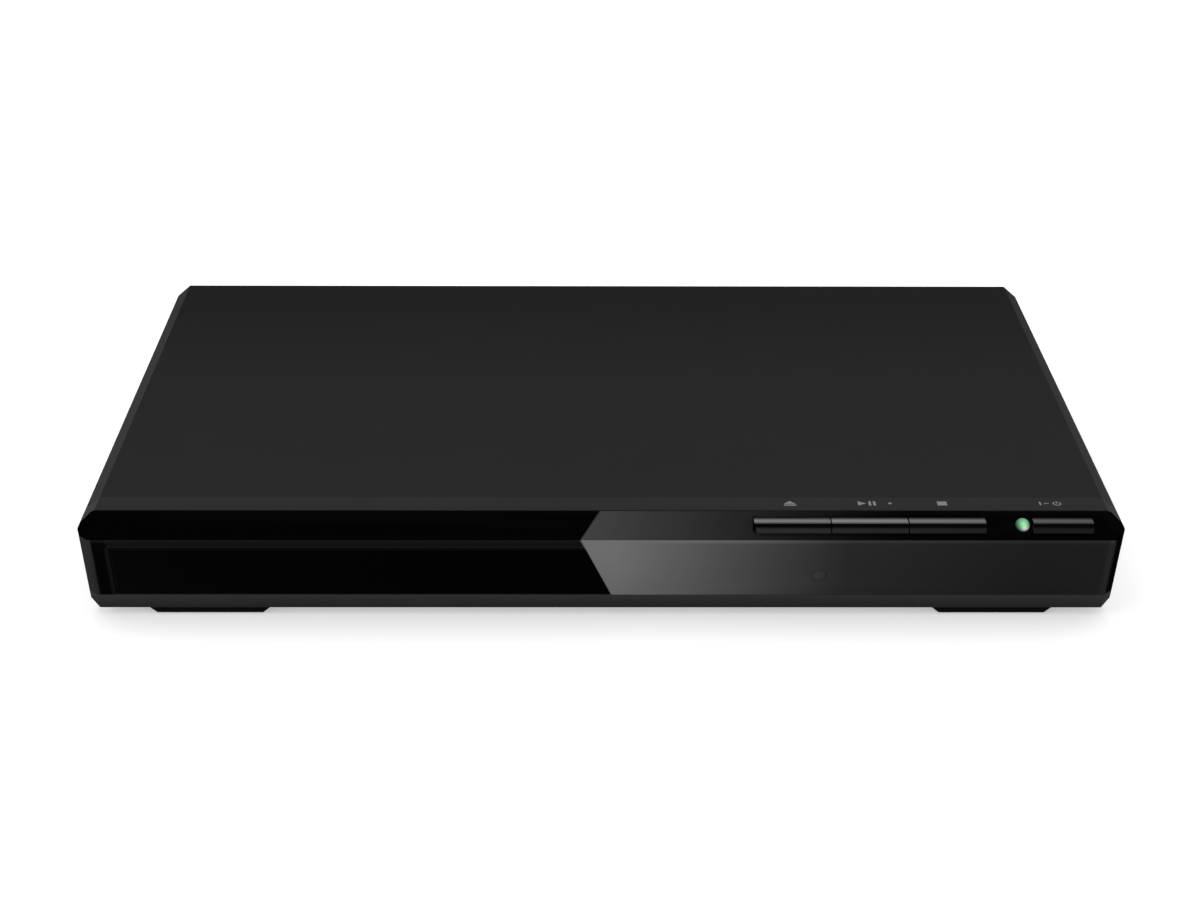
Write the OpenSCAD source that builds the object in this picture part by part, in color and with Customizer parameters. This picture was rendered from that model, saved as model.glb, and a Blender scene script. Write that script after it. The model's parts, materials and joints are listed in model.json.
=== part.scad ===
// Slim disc player with a motorised drawer tray.
// Millimetres. +Z is up, the front faces -Y, and +X is to the right seen from the front.
// The origin lies on the resting surface, in the middle of the object's outer box.

/* [Casing] */
// Width over the sides
body_w = 320; // [316:1:350]
// Depth from the front ridge to the rear edge of the cover
body_d = 202; // [200:1:230]
// Height from the resting surface to the top
body_h = 38.5; // [38.5:0.5:46]
// Height of the feet, with their pads, under the floor pan
foot_h = 3; // [2.4:0.1:5]
// Width of the sloped edge along each side of the top
slope_x = 4.8; // [3:0.1:6]
// Height of that sloped edge
slope_z = 4.2; // [3:0.1:5]
// Width of the sloped edge along each side of the bottom
under_x = 3.1; // [2.5:0.1:5]
// Height of that lower sloped edge
under_z = 2.3; // [2:0.1:3.6]
// Thickness of the sheet steel cover
cover_t = 0.8; // [0.6:0.1:1.2]
// Thickness of the floor pan
pan_t = 1; // [0.8:0.1:1.2]
// Height of the pan's side flanges inside the cover
pan_flange_h = 9; // [6:1:14]
// Thickness of the rear panel
panel_t = 1; // [0.8:0.1:1.4]
// Width of each screw tab on the rear edge of the cover
tab_w = 14; // [10:1:20]
// Height of those tabs
tab_h = 8; // [7:0.5:10]
// Distance of the outer two tabs from the sides
tab_side = 42; // [34:1:70]

/* [Feet] */
// Distance of each foot's middle from the side
foot_side = 37.2; // [28:0.1:60]
// Width of a foot where it meets the pan
foot_top_w = 39.2; // [35:0.1:44]
// Width of a foot at its underside
foot_w = 33.2; // [26:0.1:34]
// Length of a foot from front to back
foot_d = 15; // [12:0.5:20]
// Distance of the front feet behind the bezel's lower edge
foot_in = 1.2; // [1:0.1:4]
// Thickness of the rubber pads
pad_t = 0.6; // [0.4:0.1:1]
// Rim of foot left bare around each pad
pad_rim = 1.5; // [1:0.1:3]
// Diameter of the peg that holds a foot in the pan
foot_peg_d = 4; // [3:0.1:5]

/* [Front] */
// Depth of the bezel's flat lip on top
lip_d = 8.6; // [8:0.1:10]
// Height of the front ridge below the top
ridge_drop = 7.1; // [6:0.1:8]
// Distance the ridge stands forward of the top edge
ridge_out = 6.9; // [6:0.1:8]
// Height of the lower edge of the leaning face
face_low_z = 8.7; // [8:0.1:9.2]
// Distance of that lower edge behind the ridge
face_low_in = 7.5; // [6:0.1:8.5]
// Distance of the bezel's bottom edge behind the ridge
strip_in = 9.7; // [9:0.1:11]
// Bevel along each side of the front
side_bevel = 3; // [2:0.1:3.4]
// Wall of the moulded bezel
bezel_t = 1.8; // [1.5:0.1:2.2]
// Thickness of the glossy window
window_t = 1.6; // [1.2:0.1:1.8]
// Rim of bezel above the window
window_rim = 0.5; // [0.3:0.1:1]

/* [Door] */
// Distance of the door's left edge from the left side
door_side = 9; // [8:0.1:9.2]
// Height of the glossy strip over the door, measured down from the ridge
door_drop = 3.4; // [3:0.1:4]
// Thickness of the door
door_t = 2.4; // [2:0.1:2.8]
// Distance of the slanted edge's tip at the ridge to the right of the tray's middle
tip_off = 70.4; // [70:0.1:71.4]
// Run of the slanted edge from the ridge down to the lower edge
tip_run = 9.5; // [8:0.1:12]
// Width of the brackets that join door and tray
bracket_w = 12; // [8:1:20]

/* [Buttons] */
// Distance of the left end of the three function buttons from the right side
keys_side = 113.6; // [110:0.1:116]
// Width of each function button
key_w = 23.4; // [20:0.1:24]
// Gap between neighbouring buttons
key_gap = 0.35; // [0.3:0.05:0.6]
// Distance of the power button's left end from the right side
power_side = 28.2; // [26:0.1:28.4]
// Width of the power button
power_w = 18.4; // [14:0.1:20]
// Height of the buttons' flat tops below the top of the casing
key_drop = 2; // [1.9:0.1:2.4]
// Height of a button's front
key_h = 3.1; // [2.8:0.1:3.4]
// Travel of a button
key_travel = 0.5; // [0.3:0.1:0.6]
// Distance of the power lamp's middle to the left of the power button
lamp_gap = 2.95; // [2.9:0.05:5.8]
// Diameter of the power lamp
lamp_d = 4.4; // [3:0.1:4.8]
// Distance of the remote-control lens from the right side
remote_side = 92.9; // [80:0.1:100]
// Height of the remote-control lens
remote_z = 16.85; // [14:0.1:20]
// Diameter of the remote-control lens
remote_d = 4.9; // [4:0.1:6]
// Side of a push switch
switch_w = 5; // [4.5:0.1:5.2]
// Depth of a push switch without its plunger
switch_d = 3.5; // [3:0.1:3.6]

/* [Tray] */
// Distance of the tray's middle from the left side
tray_side = 83; // [82.8:0.1:83.4]
// Place of the disc's middle behind the front ridge when the tray is in
disc_in = 76.5; // [76:0.5:80]
// Width of the tray over its running edges
tray_w = 142; // [141:0.1:142.4]
// Distance of the tray's rear edge in front of the loader's
tray_back = 13.4; // [10:0.1:16]
// Travel of the tray
tray_travel = 140; // [120:1:142]
// Height of the tray's underside
tray_z = 20; // [20:0.1:20.2]
// Thickness of the tray's running edges
tray_edge_t = 1.5; // [1.2:0.1:1.6]
// Width of the tray's thin running edges
tray_edge_w = 3; // [2.6:0.1:3.4]
// Height of the tray over its rim
tray_h = 3.4; // [3:0.1:3.4]
// Diameter of the well for full-size discs
well_d = 122; // [121:0.5:124]
// Diameter of the lower well for small discs
small_well_d = 82; // [81:0.5:84]
// Depth of the lower well
small_well_drop = 0.6; // [0.4:0.1:0.8]
// Width of the slot for turntable and pickup
slot_w = 50; // [46:1:56]

/* [Loader] */
// Wall of the loader frame
frame_t = 2.1; // [1.8:0.1:2.2]
// Height of the loader frame's floor above the pan
frame_lift = 0.8; // [0.6:0.1:0.9]
// Thickness of the loader frame's floor
frame_floor = 1.4; // [1.2:0.1:1.5]
// Distance of the loader frame in front of the rear panel
frame_back = 10.2; // [4:0.1:12]
// Module of the drawer gears
drawer_module = 1; // [1:0.05:1.05]
// Teeth of the gear that drives the tray's rack
rack_gear_teeth = 14; // [14:1:15]
// Teeth of the wheel below it
wheel_teeth = 26; // [24:1:26]
// Teeth of the pinion under the belt pulley
pulley_teeth = 12; // [12:1:13]
// Distance of the rack's pitch line from the middle of the tray
rack_off = 61; // [60:0.1:61.4]
// Diameter of the large belt pulley
pulley_d = 20; // [16:0.5:20]
// Diameter of the motor's belt pulley
motor_pulley_d = 6; // [5:0.5:8]
// Distance between the two belt pulleys, measured across the loader
belt_span = 48; // [44:1:52]
// Distance of the loading motor in front of the gears
motor_fore = 4; // [3.6:0.1:4.4]
// Diameter of the loading motor
load_motor_d = 20; // [18:0.5:21]
// Diameter of the gears' fixed posts
post_d = 4; // [3:0.1:4.4]
// Thickness of the cam slider
cam_t = 2.5; // [2:0.1:2.8]
// Travel of the cam slider
cam_travel = 20; // [18:0.5:22]

/* [Playing deck] */
// Tilt of the deck between lowered and raised, in degrees
deck_tilt = 3.8; // [3.6:0.1:3.9]
// Distance from the disc's middle back to the deck's pivots
pivot_back = 74; // [73:0.5:76]
// Distance from the disc's middle forward to the lifting pin
pin_fore = 34; // [33:0.5:35]
// Width of the lift frame
lift_w = 100; // [98:0.5:102]
// Wall of the lift frame
lift_t = 2.5; // [2:0.1:3]
// Diameter of the lift frame's pivot pins
pivot_d = 4; // [3:0.1:4]
// Diameter of the lifting pin
pin_d = 3; // [2.4:0.1:3]
// Thickness of the steel deck plate
plate_t = 1; // [0.8:0.1:1]
// Diameter of the turntable
turntable_d = 29; // [26:0.5:30]
// Diameter of the hub that centres the disc
hub_d = 14.8; // [14.6:0.1:14.9]
// Diameter of the spindle motor
spindle_motor_d = 22; // [20:0.5:22]
// Diameter of the motor shafts
shaft_d = 1.5; // [1:0.1:2]
// Distance between the pickup's guide rods
rod_span = 44; // [42:0.5:46]
// Diameter of the guide rods
rod_d = 3; // [2.4:0.1:3]
// Length of the pickup sled
sled_d = 20; // [18:0.5:20]
// Distance of the lens from the disc's middle with the sled in
lens_r = 22; // [22:0.1:23]
// Travel of the sled
sled_travel = 36; // [34:0.5:36]
// Module of the sled gears
sled_module = 0.6; // [0.6:0.01:0.62]
// Diameter of the lens
lens_d = 5; // [4:0.1:6]
// Diameter of the clamp puck's body
puck_d = 25; // [24:0.5:26]

/* [Boards] */
// Thickness of the circuit boards
board_t = 1.6; // [1:0.1:1.6]
// Height of the stand-offs under the boards
standoff_h = 4; // [3.5:0.1:5]
// Share of the room beside the loader that the main board takes
main_share = 0.515; // [0.505:0.005:0.525]
// Length of the main board
main_d = 124; // [110:1:126]
// Share of the room beside the loader that the power board takes
power_share = 0.318; // [0.31:0.002:0.322]
// Length of the power board
power_board_d = 146; // [140:1:150]

/* [Rear sockets] */
// Distance that the phono jacks stand out behind the cover
jack_reach = 7; // [6:0.5:9]
// Diameter of a phono jack's barrel
jack_d = 8.3; // [8.2:0.05:8.4]
// Distance between phono jacks
jack_pitch = 12.5; // [12:0.5:13]
// Height of the phono jacks
jack_z = 20; // [18:0.5:22]
// Distance of the digital video socket's middle right of the phono jacks' block
video_off = 11; // [10:0.5:12]
// Height of the mains inlet
inlet_z = 19; // [18:0.5:21]

/* [Fits] */
// Gap between parts that move past each other
run_gap = 0.3; // [0.3:0.01:0.4]
// Gap around moulded parts that sit in each other
slip = 0.1; // [0.05:0.01:0.15]
// Radial clearance of shafts and pins in their bores
bore_play = 0.05; // [0.03:0.01:0.08]

/* [Hidden] */
$fn = 48;

far = 400;  // longer than the object, for cuts that pass right through
half_w = body_w / 2;
tab_x = half_w - tab_side;
foot_x = half_w - foot_side;
keys_x = half_w - keys_side;
power_x = half_w - power_side;
lamp_x = power_x - lamp_gap;
remote_x = half_w - remote_side;
tx = -half_w + tray_side;  // middle of the tray

// --- places along the depth and height ---
front_y = -(body_d + jack_reach) / 2;
rear_y = front_y + body_d;
panel_y = rear_y - cover_t - slip - panel_t;  // inner face of the rear panel
top_front_y = front_y + ridge_out;
seam_y = top_front_y + lip_d;
ridge_z = body_h - ridge_drop;
face_low_y = front_y + face_low_in;
strip_y = front_y + strip_in;
floor_z = foot_h + pan_t;  // top of the floor pan
roof_z = body_h - cover_t;  // underside of the cover

// --- geometry helpers ---
function unit(v) = v / norm(v);
function left_of(v) = [-v[1], v[0]];
function lines(pts, i) = left_of(unit(pts[(i + 1) % len(pts)] - pts[i]));
// Moves each edge of a counter-clockwise outline inward by its own distance
function inset_each(pts, ts) = let (n = len(pts)) [
    for (i = [0:n - 1])
        let (j = (i + n - 1) % n, a = lines(pts, j), b = lines(pts, i), c = a * b)
        pts[i] + ((ts[j] - c * ts[i]) * a + (ts[i] - c * ts[j]) * b) / (1 - c * c)
];
function inset(pts, t) = inset_each(pts, [for (p = pts) t]);

module along_x(x0, x1) translate([x0, 0, 0]) rotate([90, 0, 90]) linear_extrude(x1 - x0) children();
module along_y(y0, y1) translate([0, y1, 0]) rotate([90, 0, 0]) linear_extrude(y1 - y0) children();
module block(a, b) translate(a) cube(b - a);
module rod_x(x0, x1, y, z, r) translate([x0, y, z]) rotate([0, 90, 0]) cylinder(h = x1 - x0, r = r);
module rod_y(x, y0, y1, z, r) translate([x, y1, z]) rotate([90, 0, 0]) cylinder(h = y1 - y0, r = r);
module post(x, y, z0, z1, r) translate([x, y, z0]) cylinder(h = z1 - z0, r = r);
module tube(x, y, z0, z1, r, bore) difference() {
    post(x, y, z0, z1, r);
    post(x, y, z0 - 1, z1 + 1, bore);
}

// --- outer form of the casing ---
// Outline seen from the side, as [y, z]
profile = [
    [strip_y, foot_h], [rear_y, foot_h], [rear_y, body_h],
    [top_front_y, body_h], [front_y, ridge_z], [face_low_y, face_low_z]
];
// Outline seen from the front, as [x, z]
elevation = [
    [-half_w + under_x, foot_h], [half_w - under_x, foot_h], [half_w, foot_h + under_z],
    [half_w, body_h - slope_z], [half_w - slope_x, body_h], [-half_w + slope_x, body_h],
    [-half_w, body_h - slope_z], [-half_w, foot_h + under_z]
];
band_out = unit([-ridge_drop, ridge_out]);  // normal of the upper band
face_out = unit([face_low_z - ridge_z, -face_low_in]);  // normal of the leaning face
band_angle = atan2(ridge_drop, ridge_out);
face_angle = atan2(face_low_in, ridge_z - face_low_z);
function band_y(z) = front_y + (z - ridge_z) * ridge_out / ridge_drop;
function face_y(z) = front_y + (ridge_z - z) * face_low_in / (ridge_z - face_low_z);
// Edge between the two front faces, moved inward by t
function ridge_at(t) = inset(profile, t)[4];
// Slanted edge between door and window
function slant_x(z) = tx + tip_off + (ridge_z - z) * tip_run / (ridge_z - face_low_z);

bevel_overrun = 5;
bevel_plan = [
    [-half_w + side_bevel, 0], [half_w - side_bevel, 0],
    [half_w + bevel_overrun, side_bevel + bevel_overrun], [half_w + bevel_overrun, far],
    [-half_w - bevel_overrun, far], [-half_w - bevel_overrun, side_bevel + bevel_overrun]
];
// Everything behind one of the lower front faces, with that face's bevelled sides
module behind_face(point, lean) translate([0, point[0], point[1]]) rotate([lean, 0, 0])
    translate([0, 0, -far]) linear_extrude(2 * far) polygon(bevel_plan);

module casing_form() intersection() {
    along_x(-half_w - 1, half_w + 1) polygon(profile);
    along_y(front_y - 1, rear_y + 1) polygon(elevation);
    behind_face([front_y, ridge_z], face_angle);
    behind_face([strip_y, foot_h], atan2(strip_in - face_low_in, face_low_z - foot_h));
}

// --- window, door and button places ---
window_half = half_w - side_bevel;
window_top = [top_front_y, body_h] - unit([ridge_out, ridge_drop]) * window_rim;
// Slab that follows both front faces, from out in front of them to deep behind them
function window_slab(out, deep, grow) = let (
    up = unit([ridge_out, ridge_drop]) * grow,
    down = unit([face_low_in, face_low_z - ridge_z]) * grow,
    low = [face_low_y, face_low_z]
) [
    window_top + up + band_out * out, ridge_at(-out), low + down + face_out * out,
    low + down - face_out * deep, ridge_at(deep), window_top + up - band_out * deep
];
// The part of that slab above the ridge, which runs the whole width, lowered by grow at the ridge
function band_slab(out, deep, grow) = let (
    s = window_slab(out, deep, grow),
    down = unit([face_low_in, face_low_z - ridge_z]) * grow
) [s[0], s[1] + down, s[4] + down, s[5]];
door_top_z = ridge_z - door_drop;
wall_deep = window_t + slip + bezel_t;  // both layers of the front together
key_top_z = body_h - key_drop;
key_low_z = key_top_z - key_h;
lamp_drop = 1.4;
lamp_z = key_top_z - lamp_drop;
door_left = half_w - door_side;

// Door opening as [x, z], grown by g on the left, right and top
function door_hole(g, low) = [
    [-door_left - g, low], [slant_x(low) + g, low], [slant_x(door_top_z + g) + g, door_top_z + g],
    [-door_left - g, door_top_z + g]
];
key_starts = [for (i = [0:2]) keys_x + i * (key_w + key_gap)];
module key_slot(x, w) block([x - run_gap, front_y - 1, key_low_z - run_gap],
    [x + w + run_gap, seam_y, key_top_z + run_gap]);
module key_slots() {
    key_slot(keys_x, 3 * key_w + 2 * key_gap);
    key_slot(power_x, power_w);
}
module lamp_form(r, out, deep) translate([lamp_x, band_y(lamp_z), lamp_z])
    rotate([band_angle, 0, 0]) translate([0, 0, -deep]) cylinder(h = deep + out, r = r);
module remote_form(r, out, deep) translate([remote_x, face_y(remote_z), remote_z])
    rotate([90 + face_angle, 0, 0]) translate([0, 0, -deep]) cylinder(h = deep + out, r = r);

// --- board behind the front ---
front_board_in = 2;  // how far the board stands in front of the seam
front_board_y = seam_y - front_board_in;  // front surface of the front board
front_board_x = [keys_x - 6, half_w - bezel_t - 4];
front_board_z = [foot_h + bezel_t + 3, body_h - bezel_t - 0.4];
switch_z = front_board_z[1] - switch_w / 2;
plunger_h = 1;
plunger_r = 1.4;
front_boss_in = 4;
front_boss_x = [
    front_board_x[0] + front_boss_in, (front_board_x[0] + front_board_x[1]) / 2,
    front_board_x[1] - front_boss_in
];
front_boss_z = 14;
front_boss_r = 2.6;
front_screw_r = 1.2;
front_screw_head = [2.4, 1.4];  // radius and height
receiver = [6, 2, 7];
receiver_dome = [2, 0.6];  // radius and height

// --- tray and loader places ---
disc_y = front_y + disc_in;
tray_half = tray_w / 2;
tray_front_in = 9.5;
tray_front_y = front_y + tray_front_in;
tray_top_z = tray_z + tray_h;
frame_half = tray_half + run_gap + frame_t;
frame_front_gap = 0.4;
frame_y = [seam_y + frame_front_gap, panel_y - frame_back];
frame_d = frame_y[1] - frame_y[0];
tray_d = frame_y[1] - tray_back - tray_front_y;
frame_z = floor_z + frame_lift;
frame_floor_z = frame_z + frame_floor;
frame_top_z = tray_top_z + 0.1;
ledge_w = 3.9;
hook_z = tray_z + tray_edge_t + run_gap;

// --- drawer drive ---
rack_x = tx - rack_off;  // pitch line of the tray's rack
rack_w = 4.6;
rack_z = [tray_z - 6.2, tray_z];
gear_slack = 0.15;  // extra distance between meshing gears
rack_gear_r = drawer_module * rack_gear_teeth / 2;
wheel_r = drawer_module * wheel_teeth / 2;
pulley_pinion_r = drawer_module * pulley_teeth / 2;
tray_gear_x = rack_x + rack_gear_r + gear_slack;
tray_gear_y = frame_y[0] + 15.6;
pulley_gear_x = tray_gear_x + wheel_r + pulley_pinion_r + gear_slack;
motor_x = pulley_gear_x + belt_span;
motor_y = tray_gear_y - motor_fore;
wheel_z = [frame_floor_z + 2.8, frame_floor_z + 6.6];
rack_gear_z = [wheel_z[1], tray_z - 1.4];
belt_z = [tray_z - 4.2, tray_z - 1.9];
flange_t = 0.4;
belt_t = 1.1;

// --- playing deck, described raised and drawn lowered ---
pivot_y = disc_y + pivot_back;
pivot_z = 14;
pin_y = disc_y - pin_fore;
pin_z = pivot_z + 2.4;
plate_z = 15;  // underside of the deck plate
plate_top = plate_z + plate_t;
disc_z = 22.5;  // underside of a clamped disc
lift_z = [pivot_z - 2.2, pivot_z + 2.4];
lift_half = lift_w / 2;
lift_y = [pin_y + 6, pivot_y + 4];
plate_half = lift_half - lift_t - 1;
plate_y = [lift_y[0] + lift_t + 2, lift_y[1] - lift_t - 1];
damper_x = plate_half - 5;
damper_y = [plate_y[0] + 5, plate_y[1] - 6];
damper_r = 4;
damper_t = 0.6;
damper_neck_r = 2.5;
deck_screw_r = 1.2;
rod_z = plate_top + 1.9;
rod_y_ends = [disc_y + 3.5, pivot_y - 2];
support_w = 4;
sled_y = [disc_y + lens_r - sled_d + 8, disc_y + lens_r + 8];
sled_z = [13, rod_z + 1.6];
sled_half = rod_span / 2 + 3;
sled_rack_r = 32;  // pitch line of the sled's rack from the middle
sled_teeth = 12;
sled_wheel_teeth = 30;
sled_pinion_teeth = 10;
sled_small_r = sled_module * sled_teeth / 2;
sled_wheel_r = sled_module * sled_wheel_teeth / 2;
sled_pinion_r = sled_module * sled_pinion_teeth / 2;
sled_gear_x = tx - sled_rack_r - sled_small_r - gear_slack;
sled_gear_y = disc_y + pin_fore;
sled_pinion_y = sled_gear_y - sled_wheel_r - sled_pinion_r - gear_slack;
sled_wheel_z = [plate_top + 0.3, plate_top + 1.5];
sled_small_z = [sled_wheel_z[1], sled_z[1] - 0.1];
sled_rack_z = [sled_wheel_z[1] + run_gap, sled_z[1] - 0.2];
lens_y = disc_y + lens_r;
holder = [7, 6, 1.8];  // block that carries the lens
holder_gap = 0.5;
lens_gap = 0.85;  // room for the lens to focus
pocket_z = rod_z - 0.5;

// Turns the raised deck about its pivots into its lowered place
module lowered() translate([0, pivot_y, pivot_z]) rotate([deck_tilt, 0, 0])
    translate([0, -pivot_y, -pivot_z]) children();

// --- cam slider ---
pin_reach = pivot_y - pin_y;
function pin_drop(angle) = pin_z - pivot_z
    - ((pin_z - pivot_z) * cos(angle) - pin_reach * sin(angle));
cam_rise = pin_drop(deck_tilt);
cam_y = [pin_y - cam_t / 2, pin_y + cam_t / 2];
cam_z = [frame_floor_z + run_gap, tray_z - 0.7];
cam_slot_r = pin_d / 2 + run_gap;
cam_margin = 4.6;
cam_x = [tx - cam_travel - cam_margin, tx + cam_margin];

// --- clamp ---
bridge_t = 1;
puck_z = disc_z + 1.3;  // underside of the clamp puck
bridge_z = frame_top_z + 4;
bridge_y = [disc_y - 18, disc_y + 18];
puck_flange_z = bridge_z + bridge_t + slip;
puck_recess = 1.6;

// --- boards and sockets ---
room_x = tx + frame_half;  // the boards stand between here and the right side
main_w = round(main_share * (half_w - room_x));
power_board_w = round(power_share * (half_w - room_x));
boards_apart = 7;
power_board_x = half_w - boards_apart - power_board_w;
main_x = power_board_x - boards_apart - main_w;
board_z = floor_z + standoff_h;
board_top = board_z + board_t;
board_end_y = panel_y - 1;
main_box = [[main_x, board_end_y - main_d], [main_x + main_w, board_end_y]];
power_box = [[power_board_x, board_end_y - power_board_d],
             [power_board_x + power_board_w, board_end_y]];
hole_in = 4;
hole_back = 16.5;  // the rear screws stand in front of the sockets
standoff_r = 2.6;
screw_r = 1.4;
screw_head_r = 2.8;
screw_head_h = 1.6;
function corners(box) = [
    for (x = [box[0][0] + hole_in, box[1][0] - hole_in])
        for (y = [box[0][1] + hole_in, box[1][1] - hole_back]) [x, y]
];
board_screw_places = concat(corners(main_box), corners(power_box));
video_shell = [15, 5.8];
jack_block_w = 4 * jack_pitch;
sockets_w = jack_block_w + video_off + video_shell[0] / 2;
jack_block_x = main_x + round((main_w - sockets_w) / 2);
video_x = jack_block_x + jack_block_w + video_off;
inlet_x = power_board_x + power_board_w / 2;
jack_xs = [for (i = [0.5:3.5]) jack_block_x + i * jack_pitch];
socket_d = 12;  // depth of the sockets inside the panel
jack_block_y = [panel_y - socket_d, panel_y - slip];
inlet = [12.5, 8.2];  // size of the two-pin inlet's mouth
inlet_wall = 1.6;
inlet_deep = 11;
video_wall = 0.4;

// --- casing ---
pan_y = [seam_y + slip, panel_y - slip];
pan_side = half_w - cover_t - slip;
// Half of the pan's section on the right, from the middle outward and back
pan_half = [
    [half_w - under_x, foot_h], [half_w, foot_h + under_z - slip],
    [pan_side, foot_h + under_z - slip], [pan_side, floor_z + pan_flange_h],
    [pan_side - pan_t, floor_z + pan_flange_h], [pan_side - pan_t, floor_z + under_z],
    [half_w - under_x - pan_t / 2, floor_z]
];
function mirrored(pts) = [for (i = [len(pts) - 1:-1:0]) [-pts[i][0], pts[i][1]]];
vent = [24, 2.2];
vent_rows = 6;
vent_pitch = 6;
vent_side = 40;  // middle of each vent field from the side
vent_apart = 4;
vent_y = 20;
peg_y = 3;  // pegs lie behind the middle of each foot

module foot_places() for (x = [-foot_x, foot_x])
    for (y = [strip_y + foot_in + foot_d / 2, rear_y - foot_d]) translate([x, y, 0]) children();
loader_boss_r = 5;
ear_in = 6;
front_ear_in = 26;
loader_places = [
    for (x = [tx - frame_half + ear_in, tx + frame_half - ear_in])
        for (y = [frame_y[0] + front_ear_in, frame_y[1] - ear_in]) [x, y]
];

module bottom_pan() color("dimgray") difference() {
    union() {
        along_y(pan_y[0], pan_y[1]) polygon(concat(pan_half, mirrored(pan_half)));
        for (p = loader_places) post(p[0], p[1], foot_h + pan_t / 2, frame_z, loader_boss_r);
    }
    for (p = loader_places) post(p[0], p[1], 0, far, screw_r - 0.2);
    foot_places() post(0, peg_y, 0, far, foot_peg_d / 2 + bore_play);
    for (s = [-1, 1]) for (i = [0:vent_rows - 1]) for (k = [-1, 1])
        translate([s * (half_w - vent_side) + k * (vent[0] + vent_apart) / 2, vent_y + i * vent_pitch, 0])
            translate([-vent[0] / 2, 0, 0]) cube([vent[0], vent[1], far]);
}

cover_low_z = foot_h + under_z;
tab_rim = 0.4;
function cover_section() = let (
    o = elevation,
    i = inset(elevation, cover_t)
) [
    [-half_w, cover_low_z], [-half_w + cover_t, cover_low_z], i[6], i[5], i[4], i[3],
    [half_w - cover_t, cover_low_z], [half_w, cover_low_z], o[3], o[4], o[5], o[6]
];
tab_xs = [-tab_x, 0, tab_x];
tab_screw_z = roof_z - tab_h / 2 - tab_rim;
module top_cover() color([0.16, 0.16, 0.16]) difference() {
    union() {
        along_y(seam_y + slip, rear_y) polygon(cover_section());
        for (x = tab_xs) block([x - tab_w / 2, rear_y - cover_t, roof_z - tab_h],
            [x + tab_w / 2, rear_y, roof_z + cover_t / 2]);
    }
    for (x = tab_xs) rod_y(x, panel_y, far, tab_screw_z, screw_r + bore_play);
}

panel_inset = cover_t + slip;
function panel_outline() = inset_each(elevation,
    [0, 0, panel_inset, panel_inset, panel_inset, panel_inset, panel_inset, 0]);
panel_flange_d = 9;
panel_flanges = [[tx - 33, tx + 47], [jack_block_x + 4, video_x + 3]];
module stadium(x, z, w, h, y0, y1) union() {
    for (s = [-1, 1]) rod_y(x + s * (w - h) / 2, y0, y1, z, h / 2);
    block([x - (w - h) / 2, y0, z - h / 2], [x + (w - h) / 2, y1, z + h / 2]);
}
video_z = board_top + 0.8 + video_shell[1] / 2;
rear_vent = [2, 12];
rear_vent_z = 12;
rear_vents = 14;
rear_vent_pitch = 5;
module rear_panel() color([0.2, 0.2, 0.2]) difference() {
    union() {
        along_y(panel_y, panel_y + panel_t) polygon(panel_outline());
        for (x = panel_flanges) block([x[0], panel_y - panel_flange_d, floor_z],
            [x[1], panel_y + panel_t / 2, floor_z + pan_t]);
    }
    for (x = tab_xs) rod_y(x, 0, far, tab_screw_z, screw_r + bore_play);
    for (x = jack_xs) rod_y(x, 0, far, jack_z, jack_d / 2 + run_gap);
    stadium(inlet_x, inlet_z, inlet[0] + 2 * (inlet_wall + slip), inlet[1] + 2 * (inlet_wall + slip),
        0, far);
    block([video_x - video_shell[0] / 2 - slip, 0, video_z - video_shell[1] / 2 - slip],
        [video_x + video_shell[0] / 2 + slip, far, video_z + video_shell[1] / 2 + slip]);
    for (i = [0:rear_vents - 1])
        translate([tx + (i - rear_vents / 2) * rear_vent_pitch, panel_y - 1, rear_vent_z])
            cube([rear_vent[0], far, rear_vent[1]]);
}

cross_slot = [0.7, 1.6, 3.4];  // one arm of a screw's driver slot
cover_screw_d = 6;
module cover_screws() color("silver") for (x = tab_xs) difference() {
    union() {
        rod_y(x, rear_y - cover_screw_d, rear_y + slip, tab_screw_z, screw_r);
        rod_y(x, rear_y, rear_y + screw_head_h, tab_screw_z, screw_head_r);
    }
    for (a = [0, 90]) translate([x, rear_y + screw_head_h, tab_screw_z]) rotate([0, a, 0])
        cube(cross_slot, center = true);
}

module feet() color([0.08, 0.08, 0.08]) foot_places() union() {
    along_y(-foot_d / 2, foot_d / 2) polygon([
        [-foot_w / 2, pad_t], [foot_w / 2, pad_t],
        [foot_top_w / 2, foot_h], [-foot_top_w / 2, foot_h]
    ]);
    post(0, peg_y, foot_h - 0.2, floor_z + frame_lift - 0.2, foot_peg_d / 2);
}

module foot_pads() color([0.25, 0.25, 0.25]) foot_places()
    block([-foot_w / 2 + pad_rim, -foot_d / 2 + pad_rim, 0], [foot_w / 2 - pad_rim, foot_d / 2 - pad_rim, pad_t]);

// --- front ---
lamp_hole = [3, 9];  // how far its cutter reaches out and in
function cavity() = inset_each(profile, [bezel_t, -far, bezel_t, bezel_t, bezel_t, bezel_t]);
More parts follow.
